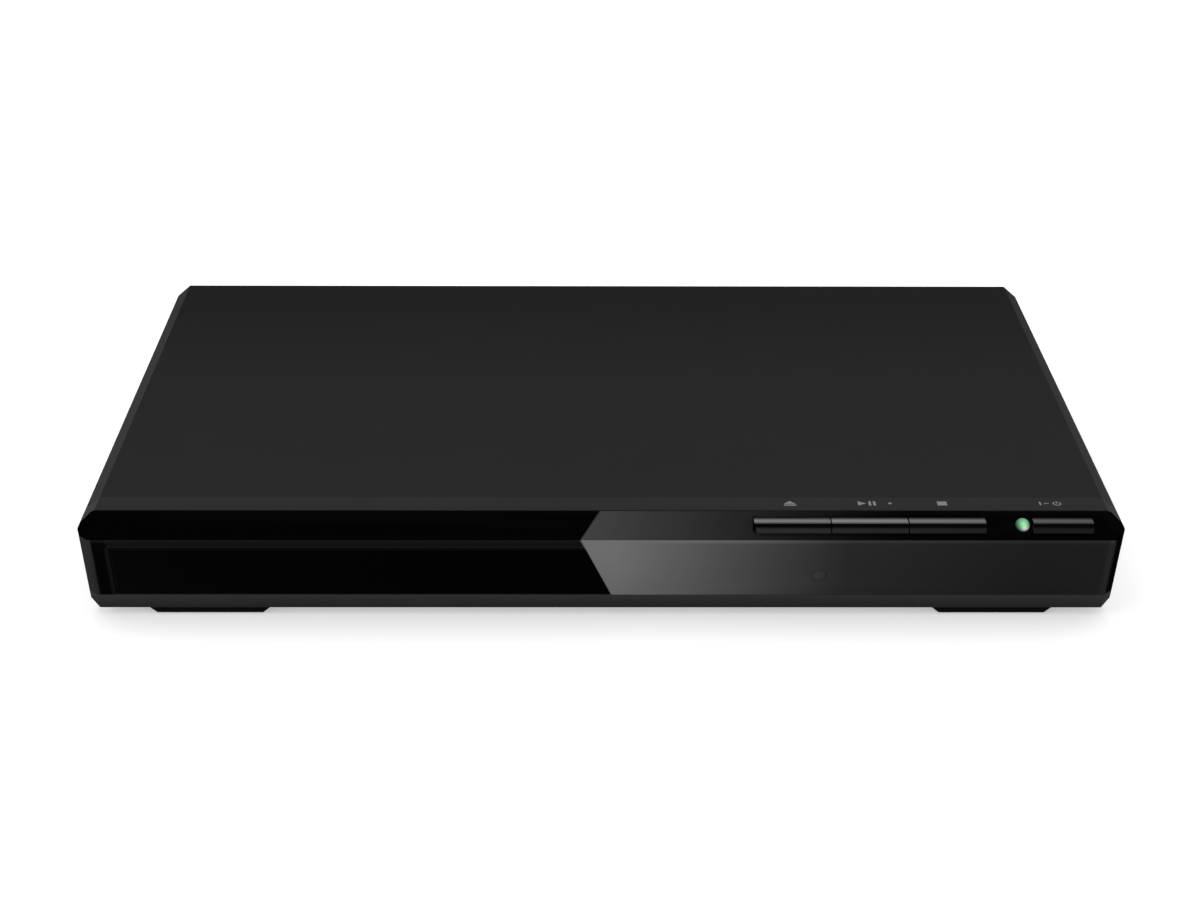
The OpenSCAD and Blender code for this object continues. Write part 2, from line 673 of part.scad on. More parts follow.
// Everything more than t behind both front faces, as [y, z]
function behind_front(t) = [
    ridge_at(t), ridge_at(t) + unit([face_low_in, face_low_z - ridge_z]) * far, [far, -far],
    [far, far], ridge_at(t) + unit([ridge_out, ridge_drop]) * far
];
module front_bezel() color([0.13, 0.13, 0.13]) difference() {
    union() {
        difference() {
            intersection() {
                casing_form();
                block([-far, front_y - 1, 0], [far, seam_y, far]);
            }
            intersection() {
                along_x(-half_w, half_w) polygon(cavity());
                along_x(-half_w, half_w) polygon(behind_front(wall_deep));
                along_y(front_y, rear_y) polygon(inset(elevation, bezel_t));
            }
        }
        for (x = front_boss_x) rod_y(x, face_y(front_boss_z) + wall_deep - run_gap, front_board_y,
            front_boss_z, front_boss_r);
    }
    along_x(-window_half - slip, window_half + slip) polygon(window_slab(2, window_t + slip, slip));
    along_x(-far, far) polygon(band_slab(2, window_t + slip, slip));
    along_y(front_y - 1, seam_y + 1) polygon(door_hole(run_gap, face_low_z + slip));
    key_slots();
    lamp_form(lamp_d / 2 + slip, lamp_hole[0], lamp_hole[1]);
    remote_form(remote_d / 2 + slip, lamp_hole[0], lamp_hole[1]);
    for (x = front_boss_x) rod_y(x, front_board_y - 3, front_board_y + 1, front_boss_z,
        front_screw_r + bore_play);
}

module front_window() color([0.05, 0.05, 0.05]) difference() {
    intersection() {
        casing_form();
        union() {
            along_x(-window_half, window_half) polygon(window_slab(0, window_t, 0));
            along_x(-far, far) polygon(band_slab(0, window_t, 0));
        }
    }
    along_y(front_y - 1, seam_y) polygon(door_hole(0, face_low_z - 1));
    key_slots();
    lamp_form(lamp_d / 2 + slip, lamp_hole[0], lamp_hole[1]);
    remote_form(remote_d / 2 + slip, lamp_hole[0], lamp_hole[1]);
}

// Section of a button as [y, z]: a flat top ledge, a shallow step and an upright lower edge
key_ledge = [3.6, 1.15];  // how far the flat top stands out, and its edge's height
key_nose_in = 0.6;
key_step = 0.3;
key_ledge_y = band_y(key_top_z) - key_ledge[0];
key_nose_y = front_y + key_nose_in;
key_back_y = front_board_y - switch_d - plunger_h - key_travel - slip;
key_section = [
    [key_back_y, key_low_z], [key_back_y, key_top_z], [key_ledge_y, key_top_z],
    [key_ledge_y, key_top_z - key_ledge[1]], [key_nose_y, key_top_z - key_ledge[1] - key_step],
    [key_nose_y, key_low_z]
];
module key(x, w, cut) intersection() {
    along_x(x, x + w) polygon(key_section);
    along_y(front_y - 1, seam_y) polygon([
        [x + cut, key_low_z - 1], [x + w + 1, key_low_z - 1], [x + w + 1, key_top_z + 1],
        [x - 0.01, key_top_z + 1], [x - 0.01, key_top_z]
    ]);
}
eject_slant = 1.2;
module eject_button() color([0.35, 0.35, 0.35]) key(key_starts[0], key_w, eject_slant);
module play_button() color([0.35, 0.35, 0.35]) key(key_starts[1], key_w, 0);
module stop_button() color([0.35, 0.35, 0.35]) key(key_starts[2], key_w, 0);
module power_button() color([0.35, 0.35, 0.35]) key(power_x, power_w, 0);
lamp_out = 0.2;
module power_lamp() color([0.3, 0.9, 0.4]) lamp_form(lamp_d / 2, lamp_out, wall_deep);
module remote_lens() color([0.12, 0.05, 0.06]) remote_form(remote_d / 2, 0, wall_deep);

switch_xs = concat([for (x = key_starts) x + key_w / 2], [power_x + power_w / 2]);
module front_board() color([0.1, 0.35, 0.2]) difference() {
    block([front_board_x[0], front_board_y, front_board_z[0]],
        [front_board_x[1], front_board_y + board_t, front_board_z[1]]);
    for (x = front_boss_x) rod_y(x, front_board_y - 1, front_board_y + 5, front_boss_z,
        front_screw_r + bore_play);
}
module push_switches() color([0.7, 0.7, 0.7]) for (x = switch_xs) union() {
    block([x - switch_w / 2, front_board_y - switch_d, switch_z - switch_w / 2],
        [x + switch_w / 2, front_board_y, switch_z + switch_w / 2]);
    rod_y(x, front_board_y - switch_d - plunger_h, front_board_y - switch_d + slip, switch_z, plunger_r);
}
module remote_receiver() color([0.15, 0.12, 0.12]) union() {
    translate([remote_x - receiver[0] / 2, front_board_y - receiver[1], remote_z - receiver[2] / 2])
        cube(receiver);
    rod_y(remote_x, front_board_y - receiver[1] - receiver_dome[1], front_board_y - receiver[1] + slip,
        remote_z, receiver_dome[0]);
}

// --- tray ---
slot_back_y = disc_y + lens_r + sled_travel + 8;
finger = [14, 16, 52];  // finger notch: width, length and distance from the middle
finger_y = disc_y - 46;
finger_floor = 0.7;
rack_front_in = 2;
rack_back_in = 1;
module disc_tray() color([0.2, 0.2, 0.21]) difference() {
    union() {
        block([tx - tray_half, tray_front_y, tray_z],
            [tx + tray_half, tray_front_y + tray_d, tray_z + tray_edge_t]);
        block([tx - tray_half + tray_edge_w, tray_front_y, tray_z],
            [tx + tray_half - tray_edge_w, tray_front_y + tray_d, tray_top_z]);
        block([rack_x - drawer_module - rack_w, tray_front_y + rack_front_in, rack_z[0]],
            [rack_x - rack_root * drawer_module, tray_front_y + tray_d - rack_back_in, tray_z + 0.5]);
        translate([rack_x, tray_gear_y, rack_gear_z[0] + run_gap])
            rack(drawer_module, rack_z[1] - rack_gear_z[0], tray_front_y - tray_gear_y + 6,
                tray_front_y + tray_d - tray_gear_y - 4);
    }
    post(tx, disc_y, tray_z + tray_edge_t, far, well_d / 2);
    post(tx, disc_y, tray_z + tray_edge_t - small_well_drop, far, small_well_d / 2);
    post(tx, disc_y, 0, far, turntable_d / 2 + 2.5);
    block([tx - slot_w / 2, disc_y, 0], [tx + slot_w / 2, slot_back_y, far]);
    for (s = [-1, 1]) translate([tx + s * finger[2] - finger[0] / 2, finger_y, tray_z + finger_floor])
        cube([finger[0], finger[1], far]);
}

// Tooth proportions, as multiples of the module
pressure_angle = 20;
tooth_tip = 0.75;
tooth_root = 1.05;
backlash = 0.13;
rack_root = 0.9;
// Straight rack with its teeth towards +X: y0 and y1 are its ends from a gap at the origin
module rack(m, h, y0, y1) let (
    p = PI * m,
    half = p / 4 - backlash * m,
    tip = half - tooth_tip * m * tan(pressure_angle),
    root = half + 0.95 * m * tan(pressure_angle)
) linear_extrude(h) for (k = [ceil(y0 / p):floor(y1 / p) - 1])
    translate([0, (k + 0.5) * p]) polygon([
        [-tooth_root * m, -root], [tooth_tip * m, -tip], [tooth_tip * m, tip], [-tooth_root * m, root]
    ]);

bracket_out = 50;
bracket_t = 2.4;
bracket_xs = [tx - bracket_out, tx, tx + bracket_out];
module tray_door() color([0.05, 0.05, 0.05]) union() {
    intersection() {
        along_x(-half_w, half_w) polygon(window_slab(0, door_t, 0));
        along_y(front_y - 1, seam_y) polygon(inset_each(door_hole(0, face_low_z + run_gap),
            [0, run_gap, run_gap, run_gap]));
    }
    for (x = bracket_xs) block([x - bracket_w / 2, face_y(tray_z) + 1, tray_z - bracket_t],
        [x + bracket_w / 2, tray_front_y + 6, tray_z]);
}

// --- gears ---
// A tooth flank from the base circle to the tip, thinned for backlash
function involute(r, a) = r * [cos(a) + a * PI / 180 * sin(a), sin(a) - a * PI / 180 * cos(a)];
function turned(p, a) = [p[0] * cos(a) - p[1] * sin(a), p[0] * sin(a) + p[1] * cos(a)];
flank_steps = 4;
module gear_outline(teeth, m) let (
    pitch_r = teeth * m / 2,
    base_r = pitch_r * cos(pressure_angle),
    tip_r = pitch_r + tooth_tip * m,
    root_r = pitch_r - tooth_root * m,
    roll = acos(base_r / tip_r),
    last = tan(roll) * 180 / PI,
    at_pitch = tan(pressure_angle) * 180 / PI - pressure_angle,
    half = 90 / teeth - backlash * m / pitch_r * 180 / PI + at_pitch,
    low = [for (i = [0:flank_steps]) turned(involute(base_r, i * last / flank_steps), -half)],
    flank = concat([turned([root_r, 0], -half)], low),
    tooth = concat(flank, [for (i = [len(flank) - 1:-1:0]) [flank[i][0], -flank[i][1]]])
) union() {
    circle(r = root_r + 0.05 * m);
    for (i = [0:teeth - 1]) rotate(i * 360 / teeth) polygon(concat([[0, 0]], tooth));
}
module gear(teeth, m, z0, z1, phase) translate([0, 0, z0]) linear_extrude(z1 - z0)
    rotate(phase) gear_outline(teeth, m);

module tray_gear() color("whitesmoke") difference() {
    translate([tray_gear_x, tray_gear_y, 0]) union() {
        gear(wheel_teeth, drawer_module, wheel_z[0], wheel_z[1], 0);
        gear(rack_gear_teeth, drawer_module, rack_gear_z[0], rack_gear_z[1], 0);
    }
    post(tray_gear_x, tray_gear_y, 0, far, post_d / 2 + bore_play);
}
module pulley_gear() color("whitesmoke") difference() {
    translate([pulley_gear_x, tray_gear_y, 0]) union() {
        gear(pulley_teeth, drawer_module, wheel_z[0], belt_z[0], 180 / pulley_teeth);
        post(0, 0, belt_z[0] - flange_t, belt_z[0], pulley_d / 2 + belt_t);
        post(0, 0, belt_z[0], belt_z[1], pulley_d / 2);
        post(0, 0, belt_z[1], belt_z[1] + flange_t, pulley_d / 2 + belt_t);
    }
    post(pulley_gear_x, tray_gear_y, 0, far, post_d / 2 + bore_play);
}
motor_pulley_r = motor_pulley_d / 2;
load_motor_z = [frame_floor_z, belt_z[0] - 1.2];
load_motor_boss = [3, 0.5];  // radius and height
motor_shaft_in = 4;  // how far a shaft reaches into its motor
module motor_pulley() color("whitesmoke") translate([motor_x, motor_y, 0]) union() {
    post(0, 0, belt_z[0] - flange_t, belt_z[0], motor_pulley_r + belt_t);
    post(0, 0, belt_z[0], belt_z[1], motor_pulley_r);
    post(0, 0, belt_z[1], belt_z[1] + flange_t, motor_pulley_r + belt_t);
    post(0, 0, load_motor_z[1] - motor_shaft_in, belt_z[1], shaft_d / 2);
}
module drive_belt() color([0.08, 0.08, 0.08]) translate([0, 0, belt_z[0] + run_gap / 2])
    linear_extrude(belt_z[1] - belt_z[0] - run_gap) difference() {
        belt_loop(belt_t);
        belt_loop(slip);
    }
module belt_loop(out) hull() {
    translate([pulley_gear_x, tray_gear_y]) circle(r = pulley_d / 2 + out);
    translate([motor_x, motor_y]) circle(r = motor_pulley_r + out);
}
module loading_motor() color("silver") difference() {
    union() {
        post(motor_x, motor_y, load_motor_z[0], load_motor_z[1], load_motor_d / 2);
        post(motor_x, motor_y, load_motor_z[1] - slip, load_motor_z[1] + load_motor_boss[1],
            load_motor_boss[0]);
    }
    post(motor_x, motor_y, load_motor_z[1] - motor_shaft_in - run_gap, far, shaft_d / 2 + bore_play);
}

// --- loader frame ---
cam_guide = 1.2;  // wall on each side of the cam slider
deck_room = 8;
deck_hole = [
    [tx - lift_half - deck_room, cam_y[1] + cam_guide + 0.2], [tx + lift_half + deck_room, pivot_y + deck_room]
];
pivot_post_w = 4;
pivot_post_x = lift_half + run_gap;
pivot_post = [5, 11, 4.4];  // how far it reaches in front, behind and above the pivot
pivot_foot_h = 4;
frame_ledge_t = 2;
hook = [2.4, 12];  // width and length of the hooks over the tray's edges
module loader_frame() color([0.82, 0.82, 0.8]) difference() {
    union() {
        difference() {
            block([tx - frame_half, frame_y[0], frame_z], [tx + frame_half, frame_y[1], frame_floor_z]);
            block([deck_hole[0][0], deck_hole[0][1], 0], [deck_hole[1][0], deck_hole[1][1], far]);
        }
        for (s = [-1, 1]) frame_side(s);
        post(tray_gear_x, tray_gear_y, frame_z, rack_gear_z[1] + 0.4, post_d / 2);
        post(tray_gear_x, tray_gear_y, frame_z, wheel_z[0] - run_gap / 2, post_d);
        post(pulley_gear_x, tray_gear_y, frame_z, belt_z[1] + 0.9, post_d / 2);
        post(pulley_gear_x, tray_gear_y, frame_z, wheel_z[0] - run_gap / 2, post_d);
        for (y = [cam_y[0] - run_gap - cam_guide, cam_y[1] + run_gap])
            block([cam_x[0] - 2, y, frame_z], [cam_x[1] + cam_travel + 6, y + cam_guide, cam_z[0] + 1]);
        for (s = [-1, 1]) pivot_post(s);
    }
    for (p = loader_places) post(p[0], p[1], 0, far, screw_r + bore_play);
    rod_x(tx - far, tx + far, pivot_y, pivot_z, pivot_d / 2 + bore_play);
    block([tx + frame_half - ledge_w, loader_board_y[0], frame_floor_z + 0.2],
        [tx + frame_half + 1, loader_board_y[1], tray_z - 4]);
}
module frame_side(s) {
    wall = [tx + s * (frame_half - frame_t / 2), frame_t];
    mid = (frame_y[0] + frame_y[1]) / 2;
    translate([wall[0], mid, (frame_z + frame_top_z) / 2])
        cube([frame_t, frame_d, frame_top_z - frame_z], center = true);
    translate([tx + s * (frame_half - frame_t - ledge_w / 2 + 0.2), mid, tray_z - run_gap - 1])
        cube([ledge_w + 0.4, frame_d, frame_ledge_t], center = true);
    for (y = [frame_y[0] + 8, disc_y, frame_y[1] - 24])
        translate([tx + s * (frame_half - frame_t - 1), y, (hook_z + frame_top_z) / 2])
            cube([hook[0], hook[1], frame_top_z - hook_z], center = true);
}
module pivot_post(s) translate([tx + s * (pivot_post_x + pivot_post_w / 2), pivot_y, 0])
    difference() {
        translate([-pivot_post_w / 2, -pivot_post[0], frame_z])
            cube([pivot_post_w, pivot_post[0] + pivot_post[1], pivot_z + pivot_post[2] - frame_z]);
        translate([-far / 2, pivot_post[0], frame_floor_z + pivot_foot_h]) cube([far, far, far]);
    }
module loader_screws() color("silver") for (p = loader_places) union() {
    post(p[0], p[1], foot_h, frame_floor_z + slip, screw_r - 0.25);
    post(p[0], p[1], frame_floor_z, frame_floor_z + screw_head_h, screw_head_r);
}

// The slot climbs to the left, so the slider lifts the pin as it moves to the right
module cam_slot() {
    low = [tx, pin_z - cam_rise];
    high = [tx - cam_travel, pin_z];
    angle = atan2(high[1] - low[1], high[0] - low[0]);
    rod_y(low[0], cam_y[0] - 1, cam_y[1] + 1, low[1], cam_slot_r);
    rod_y(high[0], cam_y[0] - 1, cam_y[1] + 1, high[1], cam_slot_r);
    translate([low[0], cam_y[0] - 1, low[1]]) rotate([0, -angle, 0])
        translate([0, 0, -cam_slot_r]) cube([norm(high - low), cam_t + 2, 2 * cam_slot_r]);
}
module cam_slider() color("whitesmoke") difference() {
    block([cam_x[0], cam_y[0], cam_z[0]], [cam_x[1], cam_y[1], cam_z[1]]);
    cam_slot();
}

plug = [6, 16, 2.6];
loader_board = [10.5, 24];
plug_front = 10;  // plug's place behind the main board's front edge
loader_board_x = [room_x - frame_t - loader_board[0] - 0.6, room_x - frame_t - 0.6];
loader_board_y = [main_box[0][1] + plug_front + (plug[1] - loader_board[1]) / 2,
                  main_box[0][1] + plug_front + (plug[1] + loader_board[1]) / 2];
loader_plug = [(loader_board_x[0] + loader_board_x[1] - plug[0]) / 2, main_box[0][1] + plug_front];
loader_plug_z = frame_floor_z + board_t;
module loader_board() color([0.1, 0.35, 0.2]) union() {
    block([loader_board_x[0], loader_board_y[0], frame_floor_z],
        [loader_board_x[1], loader_board_y[1], loader_plug_z]);
    translate([loader_plug[0], loader_plug[1], loader_plug_z - slip]) cube([plug[0], plug[1], plug[2] + slip]);
}

// --- clamp over the disc ---
bridge_hole_r = puck_d / 2 + 0.9;
bridge_rib = [1, 3];  // width and height of the stiffening ribs
bridge_rib_in = 8;
puck_lip = 4;
puck_lip_t = 1.2;
puck_cap_in = 3;
puck_hub_gap = 0.6;
module clamp_bridge() color("silver") difference() {
    union() {
        block([tx - frame_half, bridge_y[0], bridge_z], [tx + frame_half, bridge_y[1], bridge_z + bridge_t]);
        for (x = [tx - frame_half, tx + frame_half - frame_t])
            block([x, bridge_y[0], frame_top_z], [x + frame_t, bridge_y[1], bridge_z + bridge_t / 2]);
        for (y = bridge_y)
            block([tx - frame_half + bridge_rib_in, y - bridge_rib[0] / 2, bridge_z],
                [tx + frame_half - bridge_rib_in, y + bridge_rib[0] / 2, bridge_z + bridge_rib[1]]);
    }
    post(tx, disc_y, 0, far, bridge_hole_r);
}
module clamp_puck() color([0.15, 0.15, 0.16]) difference() {
    union() {
        post(tx, disc_y, puck_z, puck_flange_z + slip, puck_d / 2);
        post(tx, disc_y, puck_flange_z, puck_flange_z + puck_lip_t, puck_d / 2 + puck_lip);
        post(tx, disc_y, puck_flange_z + slip, puck_flange_z + puck_lip_t + 1, puck_d / 2 - puck_cap_in);
    }
    post(tx, disc_y, puck_z - 1, puck_z + puck_recess, hub_d / 2 + puck_hub_gap);
}

// --- playing deck ---
pin_lug = [10, 2];  // half width, and height over the lifting pin
lug_block = [8, 5];
deck_screw_head = [2.9, 1.2];  // radius and height
module lift_frame() color([0.12, 0.12, 0.12]) lowered() union() {
    difference() {
        block([tx - lift_half, lift_y[0], lift_z[0]], [tx + lift_half, lift_y[1], lift_z[1]]);
        block([tx - lift_half + lift_t, lift_y[0] + lift_t, 0],
            [tx + lift_half - lift_t, lift_y[1] - lift_t, far]);
    }
    block([tx - pin_lug[0], lift_y[0], lift_z[0]], [tx + pin_lug[0], lift_y[0] + lift_t, pin_z + pin_lug[1]]);
    rod_y(tx, cam_y[0] - 2 * run_gap, lift_y[0] + 1, pin_z, pin_d / 2);
    for (s = [-1, 1]) translate([tx + s * (lift_half + pivot_post_w / 2), pivot_y, pivot_z])
        rotate([0, 90, 0]) cylinder(h = pivot_post_w + 1, r = pivot_d / 2, center = true);
    for (x = [-1, 1]) for (y = damper_y) lift_lug(x, y);
}
module lift_lug(s, y) difference() {
    union() {
        post(tx + s * damper_x, y, lift_z[0], plate_z - damper_t, damper_r);
        translate([tx + s * (damper_x + lift_half) / 2 - lug_block[0] / 2, y - lug_block[1] / 2, lift_z[0]])
            cube([lug_block[0], lug_block[1], plate_z - damper_t - lift_z[0]]);
    }
    post(tx + s * damper_x, y, 0, far, deck_screw_r + bore_play);
}
module damper_places() for (s = [-1, 1]) for (y = damper_y) translate([tx + s * damper_x, y, 0]) children();
module deck_dampers() color([0.1, 0.1, 0.1]) lowered() damper_places() difference() {
    union() {
        post(0, 0, plate_z - damper_t, plate_z, damper_r);
        post(0, 0, plate_z - slip, plate_top + slip, damper_neck_r);
        post(0, 0, plate_top, plate_top + damper_t, damper_r);
    }
    post(0, 0, 0, far, deck_screw_r + bore_play);
}
module deck_screws() color("silver") lowered() damper_places() union() {
    post(0, 0, lift_z[0] + 0.5, plate_top + damper_t + slip, deck_screw_r);
    post(0, 0, plate_top + damper_t, plate_top + damper_t + deck_screw_head[1], deck_screw_head[0]);
}

window_room = [5, 1.5];
plate_window = [
    [tx - rod_span / 2 - window_room[0], sled_y[0] - window_room[1]],
    [tx + rod_span / 2 + window_room[0], sled_y[1] + sled_travel + window_room[1]]
];
motor_mount_r = 5.8;
rod_mount_w = 6;
rod_mount_rim = 1.6;  // its top over the rod's middle
rod_tail = 1.2;
gear_post_r = 1;
pinion_hole_r = 2.2;
module deck_plate() color("silver") lowered() difference() {
    union() {
        block([tx - plate_half, plate_y[0], plate_z], [tx + plate_half, plate_y[1], plate_top]);
        for (s = [-1, 1]) for (y = rod_y_ends)
            translate([tx + s * rod_span / 2 - rod_mount_w / 2, y - support_w / 2, plate_z + 0.4])
                cube([rod_mount_w, support_w, rod_z + rod_mount_rim - plate_z - 0.4]);
        post(sled_gear_x, sled_gear_y, plate_z, sled_small_z[1] + 0.2, gear_post_r);
    }
    block([plate_window[0][0], plate_window[0][1], 0], [plate_window[1][0], plate_window[1][1], far]);
    post(tx, disc_y, 0, far, motor_mount_r + slip);
    post(sled_gear_x, sled_pinion_y, 0, far, pinion_hole_r);
    damper_places() post(0, 0, 0, far, damper_neck_r + bore_play);
    for (s = [-1, 1]) rod_y(tx + s * rod_span / 2, rod_y_ends[0] - rod_tail - 0.2,
        rod_y_ends[1] + rod_tail + 0.2, rod_z, rod_d / 2 + bore_play);
}
module guide_rods() color("gainsboro") lowered() for (s = [-1, 1])
    rod_y(tx + s * rod_span / 2, rod_y_ends[0] - rod_tail, rod_y_ends[1] + rod_tail, rod_z, rod_d / 2);

spindle_motor_z = [10.1, plate_z];
motor_mount_h = 0.8;
turntable_hub_r = 6;
hub_taper = 1.6;
module spindle_motor() color("silver") lowered() difference() {
    union() {
        post(tx, disc_y, spindle_motor_z[0], spindle_motor_z[1], spindle_motor_d / 2);
        post(tx, disc_y, plate_z - slip, plate_top + motor_mount_h, motor_mount_r);
    }
    post(tx, disc_y, spindle_motor_z[0] + 1, far, shaft_d / 2 + bore_play);
}
hub_h = 1.6;
turntable_t = 1.4;
module turntable() color([0.16, 0.16, 0.17]) lowered() translate([tx, disc_y, 0]) union() {
    post(0, 0, disc_z - turntable_t, disc_z, turntable_d / 2);
    post(0, 0, plate_top + motor_mount_h + 2 * run_gap, disc_z - turntable_t + slip, turntable_hub_r);
    post(0, 0, spindle_motor_z[0] + 1 + run_gap, plate_top + 2 * motor_mount_h, shaft_d / 2);
    translate([0, 0, disc_z - slip]) cylinder(h = hub_h + slip, r1 = hub_d / 2, r2 = hub_d / 2 - hub_taper);
}
module pickup_sled() color([0.3, 0.3, 0.32]) lowered() difference() {
    union() {
        block([tx - sled_half, sled_y[0], sled_z[0]], [tx + sled_half, sled_y[1], sled_z[1]]);
        block([tx - sled_rack_r + rack_root * sled_module, sled_gear_y - sled_travel - 4, sled_rack_z[0]],
            [tx - sled_rack_r + 4, sled_gear_y + 4, sled_rack_z[1]]);
        block([tx - sled_rack_r + 2, sled_y[0] + 1, sled_rack_z[0]],
            [tx - sled_half + 1, sled_y[1] - 1, sled_rack_z[1]]);
        translate([tx - sled_rack_r, sled_gear_y, sled_rack_z[0]]) mirror([1, 0, 0])
            rack(sled_module, sled_rack_z[1] - sled_rack_z[0], -sled_travel - 4, 4);
    }
    for (s = [-1, 1]) rod_y(tx + s * rod_span / 2, sled_y[0] - 1, sled_y[1] + 1, rod_z,
        rod_d / 2 + bore_play);
    block([tx - holder[0] / 2 - holder_gap, lens_y - holder[1] / 2 - holder_gap, pocket_z],
        [tx + holder[0] / 2 + holder_gap, lens_y + holder[1] / 2 + holder_gap, far]);
    post(tx, disc_y, 0, far, spindle_motor_d / 2 + 2 * run_gap);
}
holder_z = pocket_z + lens_gap;
module objective_lens() color([0.5, 0.6, 0.8]) lowered() translate([tx, lens_y, holder_z]) union() {
    translate([-holder[0] / 2, -holder[1] / 2, 0]) cube(holder);
    cylinder(h = holder[2] + lens_rim, r = lens_d / 2 + lens_rim);
    translate([0, 0, holder[2] + run_gap]) cylinder(h = lens_dome[0], r1 = lens_d / 2, r2 = lens_d / 2 - lens_dome[1]);
}
lens_rim = 0.4;
lens_dome = [0.6, 1];  // height, and how much narrower its top is
sled_motor_r = 6;
sled_motor_h = 5.4;
sled_motor_boss = [2, 0.7];  // radius and height
sled_shaft_in = 3.6;
module sled_motor() color("silver") lowered() difference() {
    union() {
        post(sled_gear_x, sled_pinion_y, plate_z - sled_motor_h, plate_z, sled_motor_r);
        post(sled_gear_x, sled_pinion_y, plate_z - slip, plate_z + sled_motor_boss[1], sled_motor_boss[0]);
    }
    post(sled_gear_x, sled_pinion_y, plate_z - sled_shaft_in - run_gap, far, shaft_d / 2 + bore_play);
}
module sled_pinion() color("goldenrod") lowered() translate([sled_gear_x, sled_pinion_y, 0]) union() {
    gear(sled_pinion_teeth, sled_module, sled_wheel_z[0], sled_wheel_z[1], 180 / sled_pinion_teeth);
    post(0, 0, plate_z - sled_shaft_in, sled_wheel_z[1] + slip, shaft_d / 2);
}
module sled_gear() color("whitesmoke") lowered() difference() {
    translate([sled_gear_x, sled_gear_y, 0]) union() {
        gear(sled_wheel_teeth, sled_module, sled_wheel_z[0], sled_wheel_z[1], 0);
        gear(sled_teeth, sled_module, sled_small_z[0], sled_small_z[1], 0);
    }
    post(sled_gear_x, sled_gear_y, 0, far, gear_post_r + bore_play);
}

// --- boards ---
module board(box) difference() {
    block([box[0][0], box[0][1], board_z], [box[1][0], box[1][1], board_top]);
    for (p = corners(box)) post(p[0], p[1], 0, far, screw_r + 2 * slip);
}
module main_board() color([0.1, 0.35, 0.2]) board(main_box);
module power_board() color([0.62, 0.5, 0.3]) board(power_box);
module board_standoffs() color("silver") for (p = board_screw_places)
    tube(p[0], p[1], floor_z, board_z, standoff_r, screw_r + bore_play);
module board_screws() color("silver") {
    for (p = board_screw_places) union() {
        post(p[0], p[1], floor_z + 0.4, board_top + slip, screw_r);
        post(p[0], p[1], board_top, board_top + screw_head_h, screw_head_r);
    }
    for (x = front_boss_x) translate([0, front_board_y + board_t, 0]) union() {
        rod_y(x, -board_t - 2.6, slip, front_boss_z, front_screw_r);
        rod_y(x, 0, front_screw_head[1], front_boss_z, front_screw_head[0]);
    }
}
sheet_t = 0.3;
module insulator_sheet() color([0.35, 0.35, 0.36]) difference() {
    block([power_box[0][0] - 1, power_box[0][1] - 1, floor_z],
        [power_box[1][0] + 1, power_box[1][1] - socket_d, floor_z + sheet_t]);
    for (p = corners(power_box)) post(p[0], p[1], 0, far, standoff_r + run_gap);
}

// Chips and plugs on the main board: place as shares of its width and length, then their size
heat_chip = [0.38, 0.34, 24, 24, 1.6];
chips = [
    heat_chip, [0.14, 0.36, 10, 22, 1.2], [0.76, 0.37, 8, 8, 1.4], [0.74, 0.53, 12, 8, 1.6],
    [0.17, 0.61, 8, 6, 1.6]
];
function on_main(share) = [
    main_box[0][0] + share[0] * main_w, main_box[0][1] + share[1] * main_d, board_top
];
front_plug = [20, 5, 2.6];
front_plug_at = [main_box[0][0] + 0.36 * main_w, main_box[0][1] + 4];
main_plug_x = main_box[0][0] + 1.4;
module main_chips() color([0.12, 0.12, 0.12]) {
    for (c = chips) translate(on_main(c)) cube([c[2], c[3], c[4]]);
    translate([front_plug_at[0], front_plug_at[1], board_top]) cube(front_plug);
    translate([main_plug_x, loader_plug[1], board_top]) cube(plug);
}
fin_count = 8;
fin = [1, 6];  // thickness and height
sink_w = 22;
sink_base = 1.6;
module heat_sink() color("silver") translate(on_main(heat_chip) + [1, 1, heat_chip[4]]) union() {
    cube([sink_w, sink_w, sink_base]);
    for (i = [0:fin_count - 1])
        translate([i * (sink_w - fin[0]) / (fin_count - 1), 0, sink_base - slip]) cube([fin[0], sink_w, fin[1]]);
}
can = [3.1, 9];  // radius and height
can_places = [
    [0.095, 0.274], [0.286, 0.258], [0.833, 0.29], [0.857, 0.677], [0.31, 0.742], [0.143, 0.742]
];
module main_capacitors() color([0.1, 0.12, 0.3]) for (p = can_places)
    translate(on_main(p)) cylinder(h = can[1], r = can[0]);

power_mid_x = (power_box[0][0] + power_box[1][0]) / 2;
core = [24, 26, 3];  // base of the transformer
bobbin = [18, 18, 15];
core_bar = [28, 10, 17];
core_y = power_box[0][1] + 75;  // middle of the transformer
// A box standing on a board, centred on x and y
module on_board(x, y, size) translate([x - size[0] / 2, y - size[1] / 2, board_top]) cube(size);
module transformer() color([0.85, 0.75, 0.25]) union() {
    on_board(power_mid_x, core_y, core);
    on_board(power_mid_x, core_y, bobbin);
    on_board(power_mid_x, core_y, core_bar);
}
big_can = [9, 20];
small_can = [5, 14];
film_capacitor = [8, 16, 12];
big_can_y = core_y + 29;
small_can_y = power_box[0][1] + 26;
module power_capacitors() color([0.1, 0.12, 0.3]) {
    post(power_mid_x - big_can[0] + 1, big_can_y, board_top, board_top + big_can[1], big_can[0]);
    for (i = [-1:1]) post(power_mid_x + i * power_board_w / 3.5, small_can_y, board_top,
        board_top + small_can[1], small_can[0]);
    on_board(power_mid_x + big_can[0], big_can_y, film_capacitor);
}
fuse = [20, 2.5, 5];  // length, radius and height of its middle over the board
fuse_clip = [4, 4, 4];
fuse_y = big_can_y + 16;
